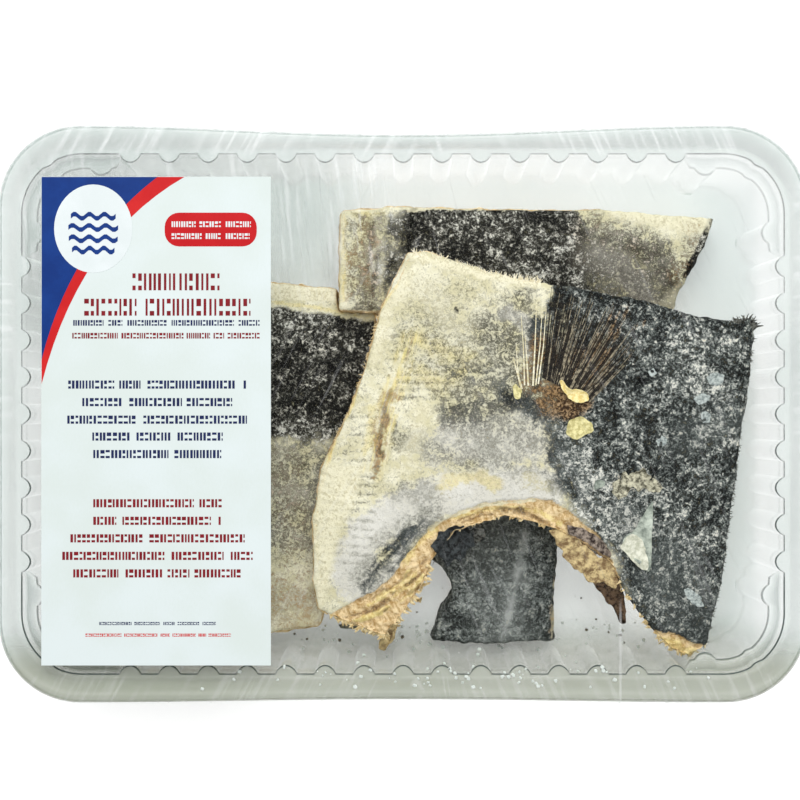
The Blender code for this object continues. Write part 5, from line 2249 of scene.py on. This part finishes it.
FRINGES = (
    Fringe(
        "collar_top_fibres", "collar", "fish_pale",
        xy(3, 52.1, 11, 50.4, 19.5, 47.6, 25.8, 45.2, 34.2, 43.5, 44.8, 42.7),
        320, (0.3, 2.8), (0.25, 0.7), 90, CREAM_FIBRE, 41,
    ),
    Fringe(
        "collar_left_fibres", "collar", "fish_pale",
        xy(
            2.5, 51.5, -1.8, 42.4, -8.2, 33.9, -11.1, 25.4, -13.7, 13.7, -16.9, 3, -21.5, -5.7, -24.6, -15.3,
            -27.7, -24.8, -29, -38.8,
        ),
        120, (0.1, 0.7), (0.25, 0.5), -90, AMBER_FIBRE, 42,
    ),
    Fringe(
        "collar_upper_dark_fibres", "collar", "fish_pale",
        xy(59.6, 37.9, 72.4, 35.9, 88.6, 30.9, 105, 27.6, 112.9, 33.1),
        110, (0.2, 1.2), (0.25, 0.55), 90, BLACK_FIBRE, 43,
    ),
    Fringe(
        "collar_spike", "collar", "fish_pale",
        xy(108.4, 26.6, 112.9, 32, 116.3, 27.7),
        40, (0.8, 3.6), (0.5, 1.2), 90, BLACK_FIBRE, 44,
    ),
    Fringe(
        "collar_right_fibres", "collar", "fish_pale",
        xy(116.2, 25.6, 112.1, 0.9, 109.4, -22.6, 106.3, -46.2, 102.9, -65.7, 100, -78.8),
        150, (0.1, 0.9), (0.25, 0.55), 90, BLACK_FIBRE, 45,
    ),
    Fringe(
        "arch_fibres", "collar", "fish_pale",
        xy(8.9, -47.9, 13.1, -41.5, 19.4, -37.2, 29.9, -34.2, 40.5, -35, 49, -41.4, 54.4, -48.9, 62.4, -53.2),
        50, (0.1, 0.6), (0.5, 1.3), -90, AMBER_FIBRE, 46,
    ),
    Fringe(
        "torn_flesh_fibres", "collar", "fish_pale",
        xy(-24.4, -69.1, -12.5, -71, -8.2, -76.4, -2.9, -70.8, 2.5, -65.3, 8.9, -60.9, 7.3, -54.4, 8.3, -49),
        90, (0.3, 2.2), (0.6, 1.8), -90, AMBER_FIBRE, 47,
    ),
    Fringe(
        "right_leg_fibres", "collar", "fish_pale",
        xy(68.3, -57.5, 75, -66.2, 82.8, -75.1, 89.5, -80.7, 95.1, -82.5, 100, -81),
        60, (0.2, 1.2), (0.5, 1.3), -90, AMBER_FIBRE, 48,
    ),
    Fringe(
        "tail_jagged_fibres", "tail", "fish_tail",
        xy(12.5, -39.8, 9.7, -45.3, 10.8, -49.7, 16.9, -50.8),
        60, (0.3, 2.2), (0.3, 0.8), -90, BLACK_FIBRE, 60,
    ),
)


@dataclass(frozen=True)
class InkField:
    """A flat printed shape: its outlines in millimetres and how many layers of ink lie below it."""

    name: str
    ink: PrintInk
    outlines: tuple[tuple[Spot, ...], ...]
    layer: int = 0


def curve_spots(start: Spot, pull: Spot, end: Spot, steps: int = 14) -> tuple[Spot, ...]:
    """Return points along a curve.

    Args:
        start: Where it starts.
        pull: What it is drawn towards.
        end: Where it ends.
        steps: How many steps it has.

    Returns:
        The points.
    """
    spots = []
    for index in range(steps + 1):
        share = index / steps
        rest = 1.0 - share
        near, drawn, far = rest * rest, 2.0 * rest * share, share * share
        spots.append(tuple(near * a + drawn * b + far * c for a, b, c in zip(start, pull, end)))
    return tuple(spots)


def oval_spots(centre: Spot, half: Spot, count: int = 48) -> tuple[Spot, ...]:
    """Return an oval's outline.

    Args:
        centre: Its middle.
        half: Its half width and half height.
        count: How many points it has.

    Returns:
        The points.
    """
    angles = [2.0 * math.pi * index / count for index in range(count)]
    return tuple((centre[0] + half[0] * math.cos(a), centre[1] + half[1] * math.sin(a)) for a in angles)


def pill_spots(centre: Spot, half: Spot, radius: float, steps: int = 6) -> tuple[Spot, ...]:
    """Return the outline of a rectangle with rounded corners.

    Args:
        centre: Its middle.
        half: Its half width and half height.
        radius: The corners' radius.
        steps: How many steps each corner has.

    Returns:
        The points.
    """
    spots = []
    for quarter, (side_x, side_y) in enumerate(((1, 1), (-1, 1), (-1, -1), (1, -1))):
        for index in range(steps + 1):
            angle = math.pi / 2.0 * (quarter + index / steps)
            x = centre[0] + side_x * (half[0] - radius) + radius * math.cos(angle)
            y = centre[1] + side_y * (half[1] - radius) + radius * math.sin(angle)
            spots.append((x, y))
    return tuple(spots)


def wave_spots(
    middle: Spot,
    half_length: float,
    swing: float = 0.75,
    thickness: float = 1.5,
    steps: int = 18,
    crest_steps: int = 6,
) -> tuple[Spot, ...]:
    """Return the outline of a wavy line.

    Args:
        middle: The middle of its lower edge.
        half_length: Half its length.
        swing: How far it swings up and down.
        thickness: How thick it is.
        steps: How many steps it has.
        crest_steps: How many of them one wave takes.

    Returns:
        The points.
    """
    spots = []
    for place in range(steps + 1):
        x = middle[0] + half_length * (2.0 * place / steps - 1.0)
        spots.append((x, middle[1] + swing * math.sin(2.0 * math.pi * place / crest_steps)))
    return tuple(spots + [(x, y + thickness) for x, y in reversed(spots)])


NAVY_INK = PrintInk("ink_navy", tone(6, 50, 124, 1.1), tone(13, 60, 138, 1.1))
RED_INK = PrintInk("ink_red", tone(206, 26, 30, 1.1), tone(218, 38, 38, 1.1))
PILL_RED_INK = PrintInk("ink_pill_red", tone(196, 14, 22, 1.1), tone(208, 24, 30, 1.1))
DARK_RED_INK = PrintInk("ink_dark_red", tone(126, 18, 30, 1.1), tone(142, 28, 38, 1.1))
DEEP_NAVY_INK = PrintInk("ink_deep_navy", tone(24, 34, 80, 1.1), tone(34, 46, 94, 1.1))
WHITE_INK = PrintInk("ink_white", tone(230, 238, 238, 1.1), tone(238, 245, 246, 1.1))

TICK_ROWS = (
    ("white", 60.6, 1.8, xy(-73.9, -66.2, -65, -57.9, -56.6, -48.6)),
    ("white", 56.8, 1.8, xy(-73.9, -64.3, -63, -58.2, -56.6, -49)),
    ("dark_red", 42.2, 5.4, xy(-86.4, -72.6, -71.4, -58.6)),
    ("dark_red", 34.1, 5.4, xy(-101.8, -85.1, -82.2, -49)),
    ("deep_navy", 29.1, 1.8, xy(-105.3, -95.7, -94.1, -89.6, -88, -75.5, -73.9, -54.1, -52.5, -45.8)),
    ("dark_red", 25, 1.8, xy(-105.6, -91.2, -89.9, -70.1, -69.1, -61.8, -60.5, -57.3, -56, -45.8)),
    ("deep_navy", 9.4, 2.6, xy(-106.9, -92.2, -90.6, -84.2, -81.6, -53.4, -50.9, -50.1)),
    ("deep_navy", 3.8, 2.6, xy(-102.4, -89.6, -87.4, -70.7, -69.1, -54.7)),
    ("deep_navy", -1.8, 2.6, xy(-107.2, -85.4, -82.9, -49.9)),
    ("deep_navy", -7.2, 2.6, xy(-99.2, -87, -85.1, -74.2, -72, -57.9)),
    ("deep_navy", -12.8, 2.6, xy(-98.9, -74.9, -73, -58.2)),
    ("dark_red", -28.5, 2.6, xy(-98.9, -66.9, -65, -57.9)),
    ("dark_red", -34.1, 2.6, xy(-98.9, -91.8, -89.6, -61.4, -58.9, -58.1)),
    ("dark_red", -39.7, 2.6, xy(-106.2, -83.2, -81, -50.6)),
    ("dark_red", -45.3, 2.6, xy(-108.8, -76.2, -73.9, -57.3, -55, -48)),
    ("dark_red", -50.9, 2.6, xy(-105.3, -91.2, -88.6, -76.5, -75.2, -68.2, -66.6, -51.5)),
    ("deep_navy", -66.9, 1, xy(-97, -86.7, -85.8, -77.8, -76.5, -73, -72, -65, -64, -59.8)),
    ("red", -70.6, 1, xy(-101.4, -89.9, -89, -78.4, -77.4, -74.6, -73.6, -66.2, -65.3, -63, -62.1, -55)),
)


@dataclass
class PackLabel:
    """The paper label: its CAD sheet dressed as paper, with plain fields and bars of ink on it."""

    node: str = "label"
    top_mm: float = 42.0
    left: float = -115.4
    far: float = 75.7
    ink_mm: float = 0.02
    widest_mm: float = 2.8
    gap_mm: float = 0.012
    layer_mm: float = 0.03

    def base_mm(self, layer: int) -> float:
        """Return the height at which a layer of ink starts."""
        return self.top_mm + self.gap_mm + self.layer_mm * layer

    def ticks(self, name: str, colour: str, ink: PrintInk, layer: int) -> Piece:
        """Print the rows of one ink: each run is a row of short ticks and dashes, which spell nothing.

        Args:
            name: The piece's name.
            colour: The rows' ink.
            ink: Its finish.
            layer: How many layers of ink lie below.

        Returns:
            The ticks as one mesh.
        """
        chance = np.random.default_rng(len(name))
        z = self.base_mm(layer) + self.ink_mm / 2.0
        plain, even_pair = ((0, 1),), ((0.36, 0.28), (-0.36, 0.28))
        uneven_pair = ((0.28, 0.44), (-0.36, 0.28))
        shapes = (plain, plain, plain, even_pair, uneven_pair)
        placements = []
        for row_colour, y, height, runs in TICK_ROWS:
            pitch = min(height, self.widest_mm)
            for start, end in runs if row_colour == colour else ():
                x = start
                while x < end:
                    shape = shapes[int(chance.integers(len(shapes)))]
                    width = pitch * chance.uniform(0.2, 0.34) * len(shape) ** 0.7
                    width = min(width, max(end - x, pitch * 0.15))
                    for middle, tall in shape:
                        spot = Vector((x + width / 2.0, y + middle * height, z)) * MM
                        size = Matrix.Diagonal((width, height * tall, self.ink_mm, 1.0))
                        placements.append(Matrix.Translation(spot) @ size)
                    x += width + pitch * chance.uniform(0.12, 0.2) * (height / pitch) ** 0.9
        select_only()
        bpy.ops.mesh.primitive_cube_add(size=MM)
        piece = scatter(name, bpy.context.active_object, placements)
        return dress(piece, ink.material(), 20.0)

    def fields(self) -> list[InkField]:
        """Return every printed field, from the lowest layer up."""
        corner = (self.left, self.far)
        navy_edge = curve_spots((-78.4, self.far), (-106.15, 54.55), (self.left, 17.3))
        red_edge = curve_spots((-69.8, self.far), (-103.45, 56.4), (self.left, 9.6))
        centre, half = (-98.9, 59.2), (12.5, 14.1)
        longest, shortening, middle = 8.0, 0.035, 57.5
        waves = tuple(
            wave_spots((centre[0], y), longest - shortening * (y - middle) ** 2)
            for y in (51.6, 55.2, 58.8, 62.4)
        )
        return [
            InkField("label_navy_corner", NAVY_INK, ((corner, *reversed(navy_edge)),)),
            InkField("label_red_band", RED_INK, ((*navy_edge, *reversed(red_edge)),)),
            InkField("label_emblem_ground", WHITE_INK, (oval_spots(centre, half),), 1),
            InkField("label_emblem_waves", NAVY_INK, waves, 2),
            InkField("label_pill", PILL_RED_INK, (pill_spots((-61.4, 58.9), (14.7, 5.4), 4.6),)),
        ]

    def print_field(self, field: InkField) -> Piece:
        """Print one field: flat plates with their tops a hair above the paper.

        Args:
            field: The field.

        Returns:
            The plates as one mesh.
        """
        plates = []
        base = self.base_mm(field.layer) * MM
        for outline in field.outlines:
            select_only()
            bpy.ops.mesh.primitive_circle_add(vertices=len(outline), radius=MM, fill_type="NGON")
            plate = bpy.context.active_object
            for vertex, spot in zip(plate.data.vertices, outline, strict=True):
                vertex.co = (spot[0] * MM, spot[1] * MM, base)
            plates.append(plate)
        piece = join(field.name, plates)
        with whole_mesh():
            bpy.ops.mesh.quads_convert_to_tris()
            bpy.ops.mesh.extrude_region_move(TRANSFORM_OT_translate={"value": (0.0, 0.0, self.ink_mm * MM)})
            bpy.ops.mesh.select_all(action="SELECT")
            bpy.ops.mesh.normals_make_consistent(inside=False)
        return dress(piece, field.ink.material(), 20.0)

    def build(self) -> None:
        """Dress the CAD sheet as paper and print its fields."""
        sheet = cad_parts[self.node]
        paper = CoatedPaper().material()
        for slot in sheet.material_slots:
            slot.material = paper
        for name, colour, ink, layer in (
            ("pill", "white", WHITE_INK, 1),
            ("title", "dark_red", DARK_RED_INK, 0),
            ("navy", "deep_navy", DEEP_NAVY_INK, 0),
            ("red", "red", RED_INK, 0),
        ):
            self.ticks(f"label_{name}_ticks", colour, ink, layer)
        for field in self.fields():
            self.print_field(field)


@dataclass
class Studio:
    """The pale table, the soft light from the far side and above, and the camera straight overhead."""

    camera_height: float = 521.0 * MM
    lens: float = 67.5
    shift: Spot = (-3.0 / 800.0, 14.0 / 800.0)
    sky: float = 0.72
    lamp_place: tuple[float, float, float] = (0.05, 0.62, 0.95)
    lamp_power: float = 8.0
    lamp_size: float = 0.9
    table_size: float = 6.0
    table_top: float = -0.05 * MM

    def build(self) -> None:
        """Set up the floor, the light and the camera."""
        select_only()
        bpy.ops.mesh.primitive_plane_add(size=self.table_size, location=(0.0, 0.0, self.table_top))
        floor = bpy.context.active_object
        floor.name = "studio_floor"
        bpy.ops.object.transform_apply(location=True)
        floor.data.materials.append(StudioFloor().material())
        world = bpy.data.worlds.new("studio_sky")
        world.use_nodes = True
        background = world.node_tree.nodes["Background"]
        background.inputs["Color"].default_value = (0.985, 0.995, 1.0, 1.0)
        background.inputs["Strength"].default_value = self.sky
        scene = bpy.context.scene
        scene.world = world
        bpy.ops.object.light_add(type="AREA", location=self.lamp_place)
        lamp = bpy.context.active_object
        lamp.name = "soft_box"
        lamp.data.energy = self.lamp_power
        lamp.data.shape = "SQUARE"
        lamp.data.size = self.lamp_size
        lamp.rotation_euler = Vector(self.lamp_place).to_track_quat("Z", "Y").to_euler()
        bpy.ops.object.camera_add(location=(0.0, 0.0, self.camera_height), rotation=(0.0, 0.0, 0.0))
        camera = bpy.context.active_object
        camera.name = "overhead_camera"
        camera.data.lens = self.lens
        camera.data.sensor_width = 36.0
        camera.data.shift_x, camera.data.shift_y = self.shift
        camera.data.clip_start = 0.01
        scene.camera = camera
        scene.view_settings.view_transform = "Standard"
        scene.cycles.transparent_max_bounces = 24
        scene.cycles.max_bounces = 4
        scene.cycles.diffuse_bounces = 2
        scene.cycles.glossy_bounces = 2


def main() -> None:
    """Build the looks of the pack, piece by piece."""
    logging.basicConfig(level=logging.INFO, format="%(name)s: %(message)s")
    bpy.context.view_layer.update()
    Studio().build()
    tray = FlutedTray().build()
    film = WrapFilm().build()
    tray.visible_shadow = film.visible_shadow = False
    PackLabel().build()
    cutlets = {name: cutlet.build() for name, cutlet in CUTLETS.items()}
    grounds = {name: Terrain([cutlet]) for name, cutlet in cutlets.items()}
    PectoralFin().build(grounds["collar"])
    for scrap in SCRAPS:
        scrap.build(grounds[scrap.ground])
    for fringe in FRINGES:
        fringe.build(grounds[fringe.owner])
    LooseGrains().build(Terrain([tray]), Terrain([tray, *cutlets.values()]))


if __name__ == "__main__":
    main()
